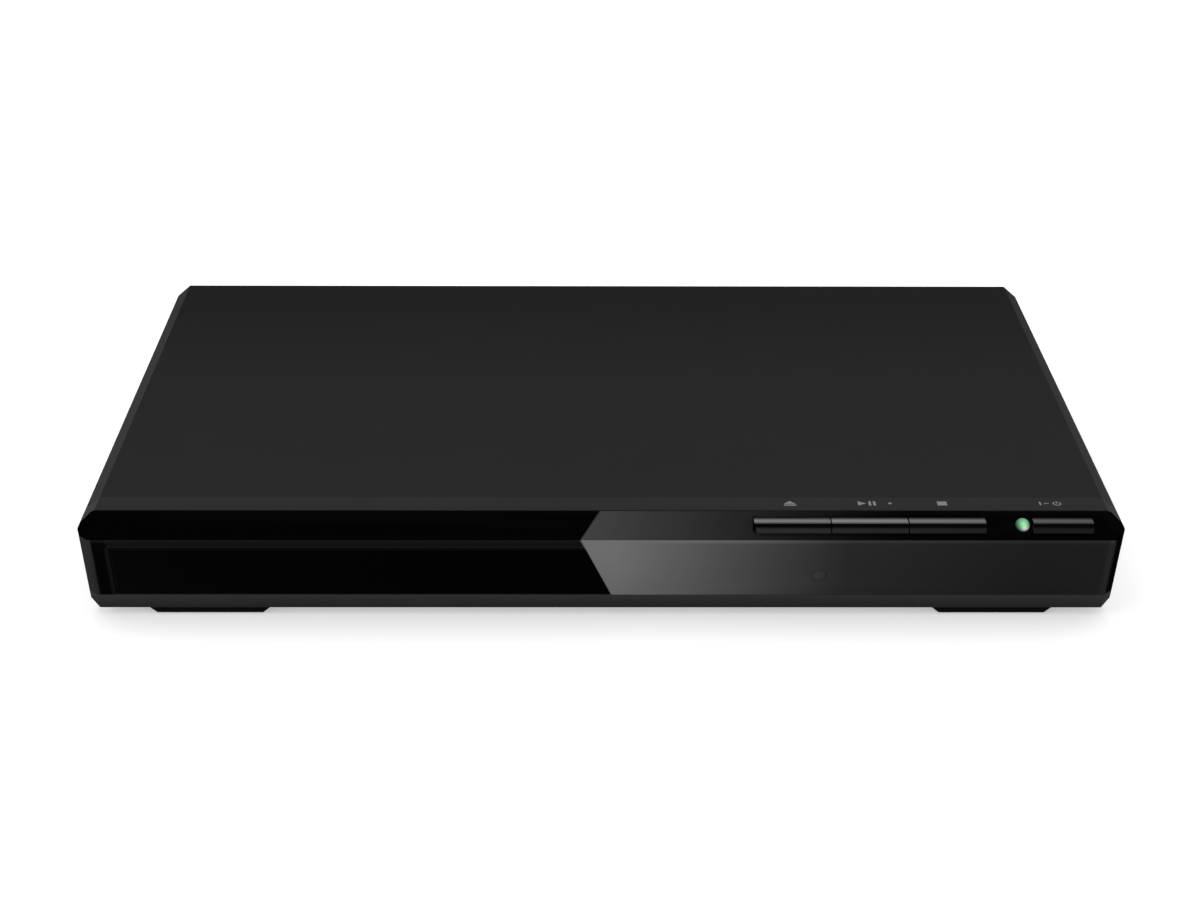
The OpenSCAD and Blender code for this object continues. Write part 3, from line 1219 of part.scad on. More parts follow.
module mains_fuse() color("lightgray") union() {
    rod_x(power_mid_x - fuse[0] / 2, power_mid_x + fuse[0] / 2, fuse_y, board_top + fuse[2], fuse[1]);
    for (s = [-1, 1]) on_board(power_mid_x + s * (fuse[0] - fuse_clip[0]) / 2, fuse_y, fuse_clip);
}

// --- rear sockets ---
inlet_out = 1.2;  // how far the inlet stands out of the panel
inlet_end_y = panel_y + panel_t + inlet_out;
inlet_y = [inlet_end_y - inlet_deep - inlet_wall - 3.6, inlet_end_y];
inlet_flange = [24, 17];
inlet_foot_w = 18;
inlet_pin_x = 4.3;
inlet_pin_r = 1.2;
inlet_pin_in = 2;
module mains_inlet() color([0.1, 0.1, 0.1]) union() {
    difference() {
        union() {
            stadium(inlet_x, inlet_z, inlet[0] + 2 * inlet_wall, inlet[1] + 2 * inlet_wall,
                inlet_y[0], inlet_y[1]);
            block([inlet_x - inlet_flange[0] / 2, inlet_y[0], inlet_z - inlet_flange[1] / 2],
                [inlet_x + inlet_flange[0] / 2, panel_y - slip, inlet_z + inlet_flange[1] / 2]);
            block([inlet_x - inlet_foot_w / 2, inlet_y[0], board_top],
                [inlet_x + inlet_foot_w / 2, panel_y - 1, inlet_z]);
        }
        stadium(inlet_x, inlet_z, inlet[0], inlet[1], inlet_y[1] - inlet_deep, far);
    }
    for (s = [-1, 1]) rod_y(inlet_x + s * inlet_pin_x, inlet_y[1] - inlet_deep - slip,
        inlet_y[1] - inlet_pin_in, inlet_z, inlet_pin_r);
}
jack_seat = 3;  // web of the block behind each jack
jack_wall = 0.7;
jack_stem_r = jack_d / 2 - 0.3;  // narrower part inside the casing
jack_end_y = rear_y + jack_reach;
jack_block_top = 6;
centre_hole_r = 1.6;
module jack_block() color([0.14, 0.14, 0.14]) difference() {
    block([jack_block_x, jack_block_y[0], board_top],
        [jack_block_x + jack_block_w, jack_block_y[1], jack_z + jack_block_top]);
    for (x = jack_xs) rod_y(x, jack_block_y[0] + jack_seat, far, jack_z, jack_stem_r + bore_play);
}
module jack_barrels() color("gainsboro") for (x = jack_xs) difference() {
    union() {
        rod_y(x, jack_block_y[0] + jack_seat + slip, rear_y + slip, jack_z, jack_stem_r);
        rod_y(x, rear_y, jack_end_y, jack_z, jack_d / 2);
    }
    rod_y(x, jack_block_y[0] + jack_seat + 1, far, jack_z, jack_d / 2 - jack_wall);
}
jack_tints = ["gold", "white", "firebrick", "darkorange"];
module jack_inserts() for (i = [0:3]) color(jack_tints[i]) difference() {
    rod_y(jack_xs[i], jack_block_y[0] + jack_seat + 1, jack_end_y - run_gap, jack_z,
        jack_d / 2 - jack_wall - bore_play);
    rod_y(jack_xs[i], jack_block_y[0] + jack_seat + 3, far, jack_z, centre_hole_r);
}
video_y = [panel_y - socket_d, rear_y + 0.4];
video_back = 2;
video_tongue = [10, 1.4];
video_leg = [1.2, 4];
video_leg_x = 6;
module video_socket() color("gainsboro") union() {
    difference() {
        block([video_x - video_shell[0] / 2, video_y[0], video_z - video_shell[1] / 2],
            [video_x + video_shell[0] / 2, video_y[1], video_z + video_shell[1] / 2]);
        block([video_x - video_shell[0] / 2 + video_wall, video_y[0] + video_back,
                video_z - video_shell[1] / 2 + video_wall],
            [video_x + video_shell[0] / 2 - video_wall, far, video_z + video_shell[1] / 2 - video_wall]);
    }
    block([video_x - video_tongue[0] / 2, video_y[0] + 1, video_z - video_tongue[1] / 2],
        [video_x + video_tongue[0] / 2, video_y[1] - 1, video_z + video_tongue[1] / 2]);
    for (s = [-1, 1]) translate([video_x + s * video_leg_x - video_leg[0] / 2, video_y[0] + video_back, board_top])
        cube([video_leg[0], video_leg[1], video_z - video_shell[1] / 2 + 2 * slip - board_top]);
}

// --- cables held inside ---
strip_t = 0.3;
// A thin strip over a run of points, its thickness measured upward
module strip(points) polygon(concat(points, [for (i = [len(points) - 1:-1:0]) points[i] + [0, strip_t]]));
loader_cable_z = loader_plug_z + plug[2];
main_cable_z = board_top + plug[2];
front_cable_w = 16;
front_cable_z = main_cable_z + 5;
front_cable_x = front_plug_at[0] + (front_plug[0] - front_cable_w) / 2;
module flat_cables() color("gainsboro") {
    along_y(loader_plug[1] + 2, loader_plug[1] + plug[1] - 2) strip([
        [loader_plug[0] + 1, loader_cable_z], [loader_plug[0] + plug[0], loader_cable_z],
        [main_plug_x, main_cable_z], [main_plug_x + plug[0] - 1, main_cable_z]
    ]);
    along_x(front_cable_x, front_cable_x + front_cable_w) strip([
        [front_board_y + board_t, front_cable_z], [front_board_y + board_t + 6, front_cable_z - 1],
        [front_plug_at[1] - 4, main_cable_z], [front_plug_at[1] + front_plug[1] - 1, main_cable_z]
    ]);
}
wire_r = 0.6;
wire_bend = 3;
wire_top = board_top + 10;
wires = 5;
wire_pitch = 1.6;
harness_x = [main_box[1][0] - 4, power_box[0][0] + 6];
harness_y = main_box[0][1] + 12;
// One end of a wire: an upright leg and a quarter bend towards +X
module wire_end() union() {
    translate([0, 0, board_top]) cylinder(h = wire_top - wire_bend - board_top, r = wire_r);
    translate([wire_bend, 0, wire_top - wire_bend]) rotate([90, 0, 0]) mirror([1, 0, 0])
        rotate_extrude(angle = 90) translate([wire_bend, 0]) circle(r = wire_r);
}
module power_harness() color("firebrick") for (i = [0:wires - 1])
    translate([0, harness_y + i * wire_pitch, 0]) union() {
        translate([harness_x[0], 0, 0]) wire_end();
        translate([harness_x[1], 0, 0]) mirror([1, 0, 0]) wire_end();
        rod_x(harness_x[0] + wire_bend, harness_x[1] - wire_bend, 0, wire_top, wire_r);
    }

bottom_pan();
top_cover();
rear_panel();
front_bezel();
front_window();
feet();
foot_pads();
cover_screws();
eject_button();
play_button();
stop_button();
power_button();
power_lamp();
remote_lens();
front_board();
push_switches();
remote_receiver();
disc_tray();
tray_door();
loader_frame();
loader_screws();
loading_motor();
motor_pulley();
drive_belt();
pulley_gear();
tray_gear();
cam_slider();
loader_board();
clamp_bridge();
clamp_puck();
lift_frame();
deck_dampers();
deck_plate();
deck_screws();
spindle_motor();
turntable();
guide_rods();
pickup_sled();
objective_lens();
sled_motor();
sled_pinion();
sled_gear();
main_board();
main_chips();
heat_sink();
main_capacitors();
board_standoffs();
board_screws();
power_board();
insulator_sheet();
transformer();
power_capacitors();
mains_fuse();
mains_inlet();
jack_block();
jack_barrels();
jack_inserts();
video_socket();
flat_cables();
power_harness();
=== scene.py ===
"""Looks of a slim disc player with a drawer tray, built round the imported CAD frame.

The scene is in metres, and places on the object are given in mm. +Z is up, the front faces -Y, and +X is to
the right seen from the front. Tones are linear, from 0 for black to 1 for white."""

import json
import math
from functools import cached_property

import bmesh
import bpy
from mathutils import Matrix, Vector


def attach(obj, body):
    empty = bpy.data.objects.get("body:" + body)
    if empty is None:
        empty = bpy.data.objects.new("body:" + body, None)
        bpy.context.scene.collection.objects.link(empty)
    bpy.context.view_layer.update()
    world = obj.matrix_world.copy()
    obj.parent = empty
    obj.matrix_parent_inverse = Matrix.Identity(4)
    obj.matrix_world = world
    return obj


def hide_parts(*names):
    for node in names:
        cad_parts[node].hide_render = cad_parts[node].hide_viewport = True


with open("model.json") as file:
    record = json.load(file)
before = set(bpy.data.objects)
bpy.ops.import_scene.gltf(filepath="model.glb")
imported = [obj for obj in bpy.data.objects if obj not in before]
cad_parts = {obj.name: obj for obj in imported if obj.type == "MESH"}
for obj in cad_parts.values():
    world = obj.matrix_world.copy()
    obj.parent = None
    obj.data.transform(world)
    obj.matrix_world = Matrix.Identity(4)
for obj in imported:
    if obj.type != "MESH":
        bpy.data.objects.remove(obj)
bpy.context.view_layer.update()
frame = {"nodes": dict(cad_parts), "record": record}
MM = 0.001
scene = bpy.context.scene
scene.view_settings.view_transform = "Standard"


def mm(*values):
    return Vector([v * MM for v in values])


def grey(tone):
    return (tone, tone, tone)


def tint(colour, by):
    return tuple(min(1.0, c * by) for c in colour)


# ---------------------------------------------------------------- node helpers
class Nodes:
    """Short calls for building the node tree of a material or the world."""

    def __init__(self, owner, output="ShaderNodeOutputMaterial"):
        self.owner = owner
        owner.use_nodes = True
        self.tree = owner.node_tree
        self.tree.nodes.clear()
        self.surface = self.add(output).inputs["Surface"]

    @cached_property
    def place(self):
        """The place on the object, in m."""
        return self.add("ShaderNodeTexCoord").outputs["Object"]

    def add(self, kind, **settings):
        node = self.tree.nodes.new(kind)
        for key, value in settings.items():
            setattr(node, key, value)
        return node

    def link(self, source, target):
        """Sets a number or colour on the target, or joins a socket to it."""
        if isinstance(source, (int, float)):
            target.default_value = source
        elif isinstance(source, (tuple, list)):
            target.default_value = tuple(source) + (1.0,) * (len(target.default_value) - len(source))
        else:
            self.tree.links.new(source, target)

    def fill(self, node, **values):
        """Links each value to the node's input of that name, with _ for a space."""
        for name, value in values.items():
            self.link(value, node.inputs[name.replace("_", " ")])
        return node

    def principled(self, values):
        """A Principled shader with these plain values, shown on the surface."""
        shader = self.add("ShaderNodeBsdfPrincipled")
        for name, value in values.items():
            shader.inputs[name].default_value = value
        self.link(shader.outputs[0], self.surface)
        return shader

    def math(self, operation, a, b=0.0):
        node = self.add("ShaderNodeMath", operation=operation)
        self.link(a, node.inputs[0])
        self.link(b, node.inputs[1])
        return node.outputs[0]

    def less(self, a, b):
        return self.math("SUBTRACT", a, b)

    def rest(self, value):
        """What is left of 1."""
        return self.less(1.0, value)

    def product(self, *factors):
        result = factors[0]
        for factor in factors[1:]:
            result = self.math("MULTIPLY", result, factor)
        return result

    def total(self, *terms):
        result = terms[0]
        for term in terms[1:]:
            result = self.math("ADD", result, term)
        return result

    def span(self, value, low, high, start=0.0, end=1.0):
        """Goes from low to high as value goes from start to end, and no further."""
        node = self.fill(self.add("ShaderNodeMapRange"), Value=value, From_Min=start, From_Max=end,
                         To_Min=low, To_Max=high)
        return node.outputs["Result"]

    def over(self, value, limit, soft=0.1):
        """1 where value is above limit and 0 below it."""
        return self.span(value, 0.0, 1.0, limit - soft, limit + soft)

    def under(self, value, limit, soft=0.1):
        """1 where value is below limit and 0 above it."""
        return self.rest(self.over(value, limit, soft))

    def bell(self, value, middle, width):
        """1 at the middle, falling off on both sides."""
        off = self.math("DIVIDE", self.less(value, middle), width)
        return self.math("POWER", math.e, self.less(0.0, self.product(off, off)))

    def axes(self):
        """The place in mm, as three sockets."""
        parts = self.fill(self.add("ShaderNodeSeparateXYZ"), Vector=self.place)
        return [self.math("DIVIDE", axis, MM) for axis in parts.outputs]

    def mix(self, factor, a, b):
        return self.fill(self.add("ShaderNodeMix", data_type="RGBA"), Factor=factor, A=a, B=b).outputs["Result"]

    def scaled(self, colour, by):
        node = self.add("ShaderNodeVectorMath", operation="SCALE")
        self.link(colour, node.inputs[0])
        self.link(by, node.inputs["Scale"])
        return node.outputs[0]

    def noise(self, scale, detail, stretch=None):
        vector = self.place
        if stretch:
            mapping = self.fill(self.add("ShaderNodeMapping"), Scale=stretch, Vector=vector)
            vector = mapping.outputs["Vector"]
        node = self.fill(self.add("ShaderNodeTexNoise"), Scale=scale, Detail=detail, Vector=vector)
        return node.outputs["Fac"]

    def grey(self, tone):
        return self.fill(self.add("ShaderNodeCombineXYZ"), X=tone, Y=tone, Z=tone).outputs[0]

    def steps(self, value, stops):
        """The colour of the last stop that value has reached."""
        node = self.add("ShaderNodeValToRGB")
        node.color_ramp.interpolation = "CONSTANT"
        elements = node.color_ramp.elements
        while len(elements) < len(stops):
            elements.new(1.0)
        for element, (at, colour) in zip(elements, stops):
            element.position = at
            element.color = colour + (1.0,)
        self.link(value, node.inputs["Fac"])
        return node.outputs["Color"]

    def seen(self):
        """1 for rays that show a thing to the camera: straight, mirrored or through glass."""
        path = self.add("ShaderNodeLightPath")
        bent = self.math("MAXIMUM", path.outputs["Is Glossy Ray"], path.outputs["Is Transmission Ray"])
        return self.math("MAXIMUM", path.outputs["Is Camera Ray"], bent)


# ---------------------------------------------------------------- a finished surface
NOISE_LOW, NOISE_HIGH = 0.3, 0.7
MOTTLE_SCALE, MOTTLE_DETAIL = 60.0, 4.0
ROUGH_SCALE, ROUGH_DETAIL, ROUGH_SPREAD = 350.0, 3.0, 0.15
GRAIN_DETAIL = 2.0


def surface(name, rough, grain, colour=None, metallic=0.0, specular=0.5, mottle=0.08, brushed=None, cells=False,
            colour_node=None, dull_node=None, coat=0.0, coat_rough=0.05, transmission=0.0):
    """A material with mottled colour, uneven gloss and a fine grain or brushing in its relief.

    grain is its scale per metre and its depth in mm. Where dull_node is 1 there is no coat."""
    n = Nodes(bpy.data.materials.new(name))
    shader = n.principled({
        "Metallic": metallic, "Specular IOR Level": specular, "Coat Weight": coat, "Coat Roughness": coat_rough,
        "Transmission Weight": transmission, "IOR": 1.5})
    if dull_node:
        n.link(n.product(n.rest(dull_node(n)), coat), shader.inputs["Coat Weight"])
    patch = n.noise(MOTTLE_SCALE, MOTTLE_DETAIL)
    pale, dark = 1 + mottle, 1 - mottle
    if colour_node:
        base = n.scaled(colour_node(n), n.span(patch, dark, pale, NOISE_LOW, NOISE_HIGH))
    else:
        base = n.mix(n.span(patch, 0.0, 1.0, NOISE_LOW, NOISE_HIGH), tint(colour, dark), tint(colour, pale))
    uneven = n.span(n.noise(ROUGH_SCALE, ROUGH_DETAIL), rough * (1 - ROUGH_SPREAD),
                    min(1.0, rough * (1 + ROUGH_SPREAD)), NOISE_LOW, NOISE_HIGH)
    grain_scale, grain_depth = grain
    if cells:
        texture = n.fill(n.add("ShaderNodeTexVoronoi"), Scale=grain_scale, Vector=n.place)
        height = texture.outputs["Distance"]
    else:
        height = n.noise(grain_scale, GRAIN_DETAIL, brushed)
    bump = n.fill(n.add("ShaderNodeBump"), Strength=1.0, Distance=grain_depth * MM, Height=height)
    n.fill(shader, Base_Color=base, Roughness=uneven, Normal=bump.outputs["Normal"])
    return n.owner


# ---------------------------------------------------------------- the front: places in mm
TOP_Z, RIDGE_Z, FACE_LOW_Z = 38.5, 31.4, 8.7
FRONT_Y, LIP_Y = -104.5, -97.9
FACE_LEAN = 7.5 / (RIDGE_Z - FACE_LOW_Z)
HALF_W, WINDOW_HALF = 160.0, 157.0
CHAMFER_X, CHAMFER_LOW_Z, SLOPE_RUN = 155.2, 34.4, 4.8 / 4.2
BEVEL_X, BEVEL_SOFT, BEVEL_DEEP, BEVEL_RUN = 157.3, 0.5, 3.3, 1.235
TIP_X = -6.6  # tip of the painted reflection's slanted left edge, on the ridge
FACE_RUN = 9.5 / (RIDGE_Z - FACE_LOW_Z)
BAND_RUN = 6.3 / (TOP_Z - RIDGE_Z)
DOOR_TOP_Z, DOOR_LEFT = 28.0, -151.0
BLACK = 0.0004
# Painted light on the sloped ends of the top and of the bezel
SLOPE_PAINTED_LIGHT = 0.017

# The painted reflection on the face: its display level falls off to the right, and is turned into a tone
FIELD_KNEE_X, FIELD_END_X = 76.0, 132.0
FIELD_END, FIELD_TAIL, FIELD_RISE, FIELD_MOST = 0.122, 0.039, 0.0037, 0.424
DISPLAY_OFFSET, DISPLAY_SCALE, DISPLAY_POWER = 0.055, 0.948, 2.4
TONE_PER_LIGHT, TONE_OF_GLOSS = 1.333, 0.003
# The window's right end with its painted glint, and the edge where the painted reflection stops
WINDOW_END, WINDOW_END_GLINT, WINDOW_EDGE = 155.4, 0.008, 157.1
# On the band the painted reflection fades out to the right
BAND_DARK_X, BAND_RISE, BAND_LEAST = 105.0, 0.00213, 0.02

# The painted glint under the ridge, and the frame round the door with its painted highlights
GLINT_Z, GLINT_W, GLINT_GAIN, GLINT_FROM_X, GLINT_TO_X = 30.95, 0.75, 0.8, 8.0, 48.0
FRAME_TONE, FRAME_GLINT = 0.0052, 0.003
FRAME_LIP_HIGHLIGHT, FRAME_LIP_Z, FRAME_LIP_W = 0.0035, 28.2, 0.7
FRAME_HIGHLIGHT, FRAME_HIGHLIGHT_W = 0.006, 1.2
# Painted highlight down the door's left edge and along its top
DOOR_HIGHLIGHT, DOOR_HIGHLIGHT_W = 0.0045, 0.6
# Painted light on the left end of the face
LEFT_PALE_X, LEFT_PAINTED_LIGHT = -156.15, 0.027


def painted_reflection(n, x, glint):
    """Painted reflection on the face to the right of the slanted edge, with painted glints under the ridge and at
    the right end.
    """
    tail = n.span(x, FIELD_TAIL, 0.0, FIELD_KNEE_X, FIELD_END_X)
    rise = n.product(n.math("MAXIMUM", n.less(FIELD_KNEE_X, x), 0.0), FIELD_RISE)
    level = n.math("MINIMUM", n.total(FIELD_END, tail, rise), FIELD_MOST)
    light = n.math("POWER", n.product(n.total(level, DISPLAY_OFFSET), DISPLAY_SCALE), DISPLAY_POWER)
    tone = n.less(n.product(light, TONE_PER_LIGHT), TONE_OF_GLOSS)
    end = n.product(n.over(x, WINDOW_END, soft=0.5), WINDOW_END_GLINT)
    shine = n.total(1.0, n.product(glint, n.span(x, 0.0, GLINT_GAIN, GLINT_FROM_X, GLINT_TO_X)))
    return n.product(n.under(x, WINDOW_EDGE), shine, n.total(tone, end))


def front_colour(n):
    """Black front. Right of the slanted edge a grey that fades out, a painted reflection; a grey frame round the
    door with painted highlights, and painted light at the left end.
    """
    x, _, z = n.axes()
    above, below = n.less(z, RIDGE_Z), n.less(RIDGE_Z, z)
    on_band = n.math("GREATER_THAN", above, 0.0)
    on_face = n.rest(on_band)
    run = n.math("MAXIMUM", n.product(below, FACE_RUN), n.product(above, BAND_RUN))
    inside = n.over(n.less(n.less(x, TIP_X), run), 0.0, soft=0.35)
    # painted glint just under the ridge
    glint = n.bell(z, GLINT_Z, GLINT_W)
    # painted reflection right of the slanted edge, on the band and on the face
    root = n.math("MAXIMUM", n.product(n.less(BAND_DARK_X, x), BAND_RISE), BAND_LEAST)
    field = n.product(inside, n.total(n.product(on_band, root, root), n.product(on_face, painted_reflection(n, x, glint))))

    # The frame round the door: a grey strip above it with the painted glint and a painted highlight on its lip, and
    # a painted highlight down its left side
    lip_highlight = n.product(n.bell(z, FRAME_LIP_Z, FRAME_LIP_W), FRAME_LIP_HIGHLIGHT)
    over_door = n.product(n.over(z, DOOR_TOP_Z), on_face, n.over(x, DOOR_LEFT - 0.5, soft=0.5), n.rest(inside),
                          n.total(FRAME_TONE, n.product(glint, FRAME_GLINT), lip_highlight))
    down_side = n.product(n.over(x, DOOR_LEFT - FRAME_HIGHLIGHT_W, soft=0.3), n.under(z, DOOR_TOP_Z))
    left_highlight = n.product(on_face, n.under(x, DOOR_LEFT), FRAME_HIGHLIGHT, n.math("MAXIMUM", glint, down_side))
    left_painted_light = n.product(on_face, n.under(x, LEFT_PALE_X, soft=0.4), LEFT_PAINTED_LIGHT)
    return n.grey(n.total(field, over_door, left_highlight, left_painted_light, BLACK))


def window_dull(n):
    """1 on the faces at the ends of the band, and 0 on its front."""
    x, _, z = n.axes()
    slope = n.total(CHAMFER_X, n.product(n.less(TOP_Z, z), SLOPE_RUN))
    bevel = n.total(WINDOW_HALF, n.product(n.math("MAXIMUM", n.less(z, RIDGE_Z), 0.0), BEVEL_RUN))
    edge = n.math("MINIMUM", n.math("MINIMUM", slope, bevel), HALF_W)
    return n.over(n.less(n.math("ABSOLUTE", x), edge), -0.1, soft=0.05)


def door_colour(n):
    """Black gloss with a painted highlight down its left edge and along its top."""
    x, _, z = n.axes()
    left, top = n.under(x, DOOR_LEFT + DOOR_HIGHLIGHT_W, soft=0.4), n.over(z, DOOR_TOP_Z - DOOR_HIGHLIGHT_W, soft=0.3)
    return n.grey(n.total(n.product(n.math("MAXIMUM", left, top), DOOR_HIGHLIGHT), BLACK))


def slope_ends(n, x, z):
    """1 on the sloped edges at both ends of the top."""
    return n.product(n.over(n.math("ABSOLUTE", x), CHAMFER_X, soft=0.15), n.over(z, CHAMFER_LOW_Z))


# The cover's tone, darker to the rear by painted shade
COVER_FRONT, COVER_MIDDLE, COVER_REAR_PAINTED_SHADE = 0.0184, 0.0158, 0.0064
COVER_FRONT_Y, COVER_MIDDLE_Y, COVER_REAR_Y = -89.0, 6.0, 80.0


def cover_colour(n):
    """Matte paint with painted shade that darkens it a little to the rear, and painted light on its sloped side
    edges.
    """
    x, y, z = n.axes()
    top = n.less(n.span(y, COVER_FRONT, COVER_MIDDLE, COVER_FRONT_Y, COVER_MIDDLE_Y),
                 n.span(y, 0.0, COVER_REAR_PAINTED_SHADE, COVER_MIDDLE_Y, COVER_REAR_Y))
    return n.grey(n.total(top, n.product(slope_ends(n, x, z), SLOPE_PAINTED_LIGHT)))


def right_bevel(n):
    """1 on the bevel at the right end of the front above the foot strip, which has painted shade and no gloss, and 0
    elsewhere.
    """
    x, y, z = n.axes()
    behind = n.less(n.less(y, FRONT_Y), n.product(n.less(RIDGE_Z, z), FACE_LEAN))
    return n.product(n.over(x, BEVEL_X, BEVEL_SOFT), n.under(behind, BEVEL_DEEP), n.over(z, FACE_LOW_Z, soft=0.3))


LEFT_DULL = 0.5


def bezel_dull(n):
    """How much of the bezel's gloss is gone: all on the right bevel and beside the band, half on the left."""
    x, y, z = n.axes()
    beside_band = n.product(n.over(z, RIDGE_Z), n.under(y, LIP_Y, soft=0.3))
    left = n.product(n.under(x, -BEVEL_X, BEVEL_SOFT), n.under(z, RIDGE_Z), LEFT_DULL)
    return n.math("MINIMUM", n.total(right_bevel(n), beside_band, left), 1.0)


# The bezel's tone, how much darker it is beside the band, and the painted shade on the right bevel
BEZEL_TONE, BESIDE_BAND_DROP, BEVEL_PAINTED_SHADE = 0.021, -0.016, 0.9
# The foot strip: paler at its top, with painted shade darkening it towards the bottom
STRIP_LOW_Z, STRIP_LOW, STRIP_HIGH = 3.0, 0.0005, 0.0145


def bezel_colour(n):
    """Moulded black plastic: painted light on its sloped ends, a foot strip paler at its top with painted shade
    towards the bottom, darker beside the band, and painted shade on the right bevel.
    """
    x, y, z = n.axes()
    ends = n.product(slope_ends(n, x, z), n.over(y, LIP_Y, soft=0.3))
    strip = n.product(n.under(z, FACE_LOW_Z, soft=0.2),
                      n.span(z, STRIP_LOW, STRIP_HIGH, STRIP_LOW_Z, FACE_LOW_Z))
    beside_band = n.product(n.over(z, RIDGE_Z, soft=0.2), n.under(y, LIP_Y, soft=0.3), BESIDE_BAND_DROP)
    tone = n.total(BEZEL_TONE, n.product(ends, SLOPE_PAINTED_LIGHT), strip, beside_band)
    return n.grey(n.product(tone, n.rest(n.product(right_bevel(n), BEVEL_PAINTED_SHADE))))


LENS_X, LENS_Z, LENS_R = 67.1, 16.85, 2.45
LENS_MIDDLE, LENS_RIM = 0.046, 0.03


def lens_colour(n):
    """Smoked lens of the remote receiver, palest in its middle."""
    x, _, z = n.axes()
    across, along = n.less(x, LENS_X), n.less(z, LENS_Z)
    away = n.math("DIVIDE", n.total(n.product(across, across), n.product(along, along)), LENS_R ** 2)
    return n.grey(n.span(away, LENS_MIDDLE, LENS_RIM))


# The painted highlight along the keys' flat tops: its tone, and a step in it at each key
KEY_HIGHLIGHT_TONE, KEY_HIGHLIGHT_STEPS = 0.195, ((69.9, 0.03), (93.7, -0.05), (125.0, -0.068))  # a step's place in x and its rise
KEY_HIGHLIGHT_FROM_Z, KEY_HIGHLIGHT_Y, KEY_HIGHLIGHT_W = 36.42, -101.4, 1.5
KEY_STEP_Z, KEY_LOW_Z, KEY_LOW_W = 35.2, 34.3, 1.1
KEY_LOW_LEFT, KEY_LOW_RIGHT, KEY_LEFT_X, KEY_RIGHT_X = 0.03, 0.013, 48.0, 128.0


def key_colour(n):
    """The bar keys: a painted highlight along the flat top, a dark step and a grey lower edge, paler on the left."""
    x, y, z = n.axes()
    tone = n.total(KEY_HIGHLIGHT_TONE, *[n.product(n.over(x, at), rise) for at, rise in KEY_HIGHLIGHT_STEPS])
    painted_highlight = n.product(n.over(z, KEY_HIGHLIGHT_FROM_Z, soft=0.05), n.bell(y, KEY_HIGHLIGHT_Y, KEY_HIGHLIGHT_W), tone)
    low = n.product(n.under(z, KEY_STEP_Z), n.bell(z, KEY_LOW_Z, KEY_LOW_W),
                    n.span(x, KEY_LOW_LEFT, KEY_LOW_RIGHT, KEY_LEFT_X, KEY_RIGHT_X))
    return n.grey(n.total(painted_highlight, low, BLACK))


# ---------------------------------------------------------------- other coloured surfaces
JACKS_FROM_X, JACK_PITCH = 18.0, 12.5
YELLOW, WHITE, RED, ORANGE = (0.75, 0.55, 0.03), grey(0.75), (0.55, 0.02, 0.02), (0.75, 0.25, 0.02)
JACK_COLOURS = (YELLOW, WHITE, RED, ORANGE)


def jack_colours(n):
    """One colour for each phono jack, from low x to high."""
    x = n.axes()[0]
    count = len(JACK_COLOURS)
    along = n.span(x, 0.0, 1.0, JACKS_FROM_X, JACKS_FROM_X + count * JACK_PITCH)
    return n.steps(along, [(i / count, colour) for i, colour in enumerate(JACK_COLOURS)])


GREEN, COPPER_GREEN = (0.012, 0.09, 0.03), (0.03, 0.16, 0.06)
TAN, COPPER_TAN = (0.32, 0.2, 0.08), (0.42, 0.28, 0.12)
TRACK_SCALE, TRACK_WIDTH, TRACK_CONTRAST = 160.0, 0.03, 1.15


def board_colour(lacquer, copper):
    """A circuit board's lacquer, crossed by the paler lines of its tracks."""
    def make(n):
        bricks = n.fill(n.add("ShaderNodeTexBrick"), Scale=TRACK_SCALE, Mortar_Size=TRACK_WIDTH, Color1=lacquer,
                        Color2=tint(lacquer, TRACK_CONTRAST), Mortar=copper, Vector=n.place)
        return bricks.outputs["Color"]
    return make


LAMP_X, LAMP_Y, LAMP_Z, LAMP_R = 128.85, -100.904, 35.1, 2.2
# Middle and width of the green and of the white spot, in x and z
GREEN_X, GREEN_Z = (129.0, 1.5), (35.5, 1.15)
SPOT_X, SPOT_Z = (129.4, 1.1), (34.3, 0.7)
LAMP_GREEN, LAMP_SPOT = (0.27, 0.8, 0.37), (0.5, 0.42, 0.46)
LAMP_DARK, LAMP_PALE = (0.004, 0.012, 0.006), (0.006, 0.016, 0.008)


def lamp_material():
    """Lit lens: green that darkens to its rim, with a white spot low on its right."""
    n = Nodes(bpy.data.materials.new("lamp_green"))
    shader = n.principled({"Roughness": 0.2, "Specular IOR Level": 0.1, "Emission Strength": 1.0})
    x, _, z = n.axes()
    green = n.product(n.bell(x, *GREEN_X), n.bell(z, *GREEN_Z))
    spot = n.product(n.bell(x, *SPOT_X), n.bell(z, *SPOT_Z))
    glow = n.add("ShaderNodeVectorMath", operation="MULTIPLY_ADD")
    for source, target in zip((n.grey(green), LAMP_GREEN, n.scaled(LAMP_SPOT, spot)), glow.inputs):
        n.link(source, target)
    n.fill(shader, Emission_Color=glow.outputs[0], Base_Color=n.mix(n.noise(900.0, 2.0), LAMP_DARK, LAMP_PALE))
    return n.owner
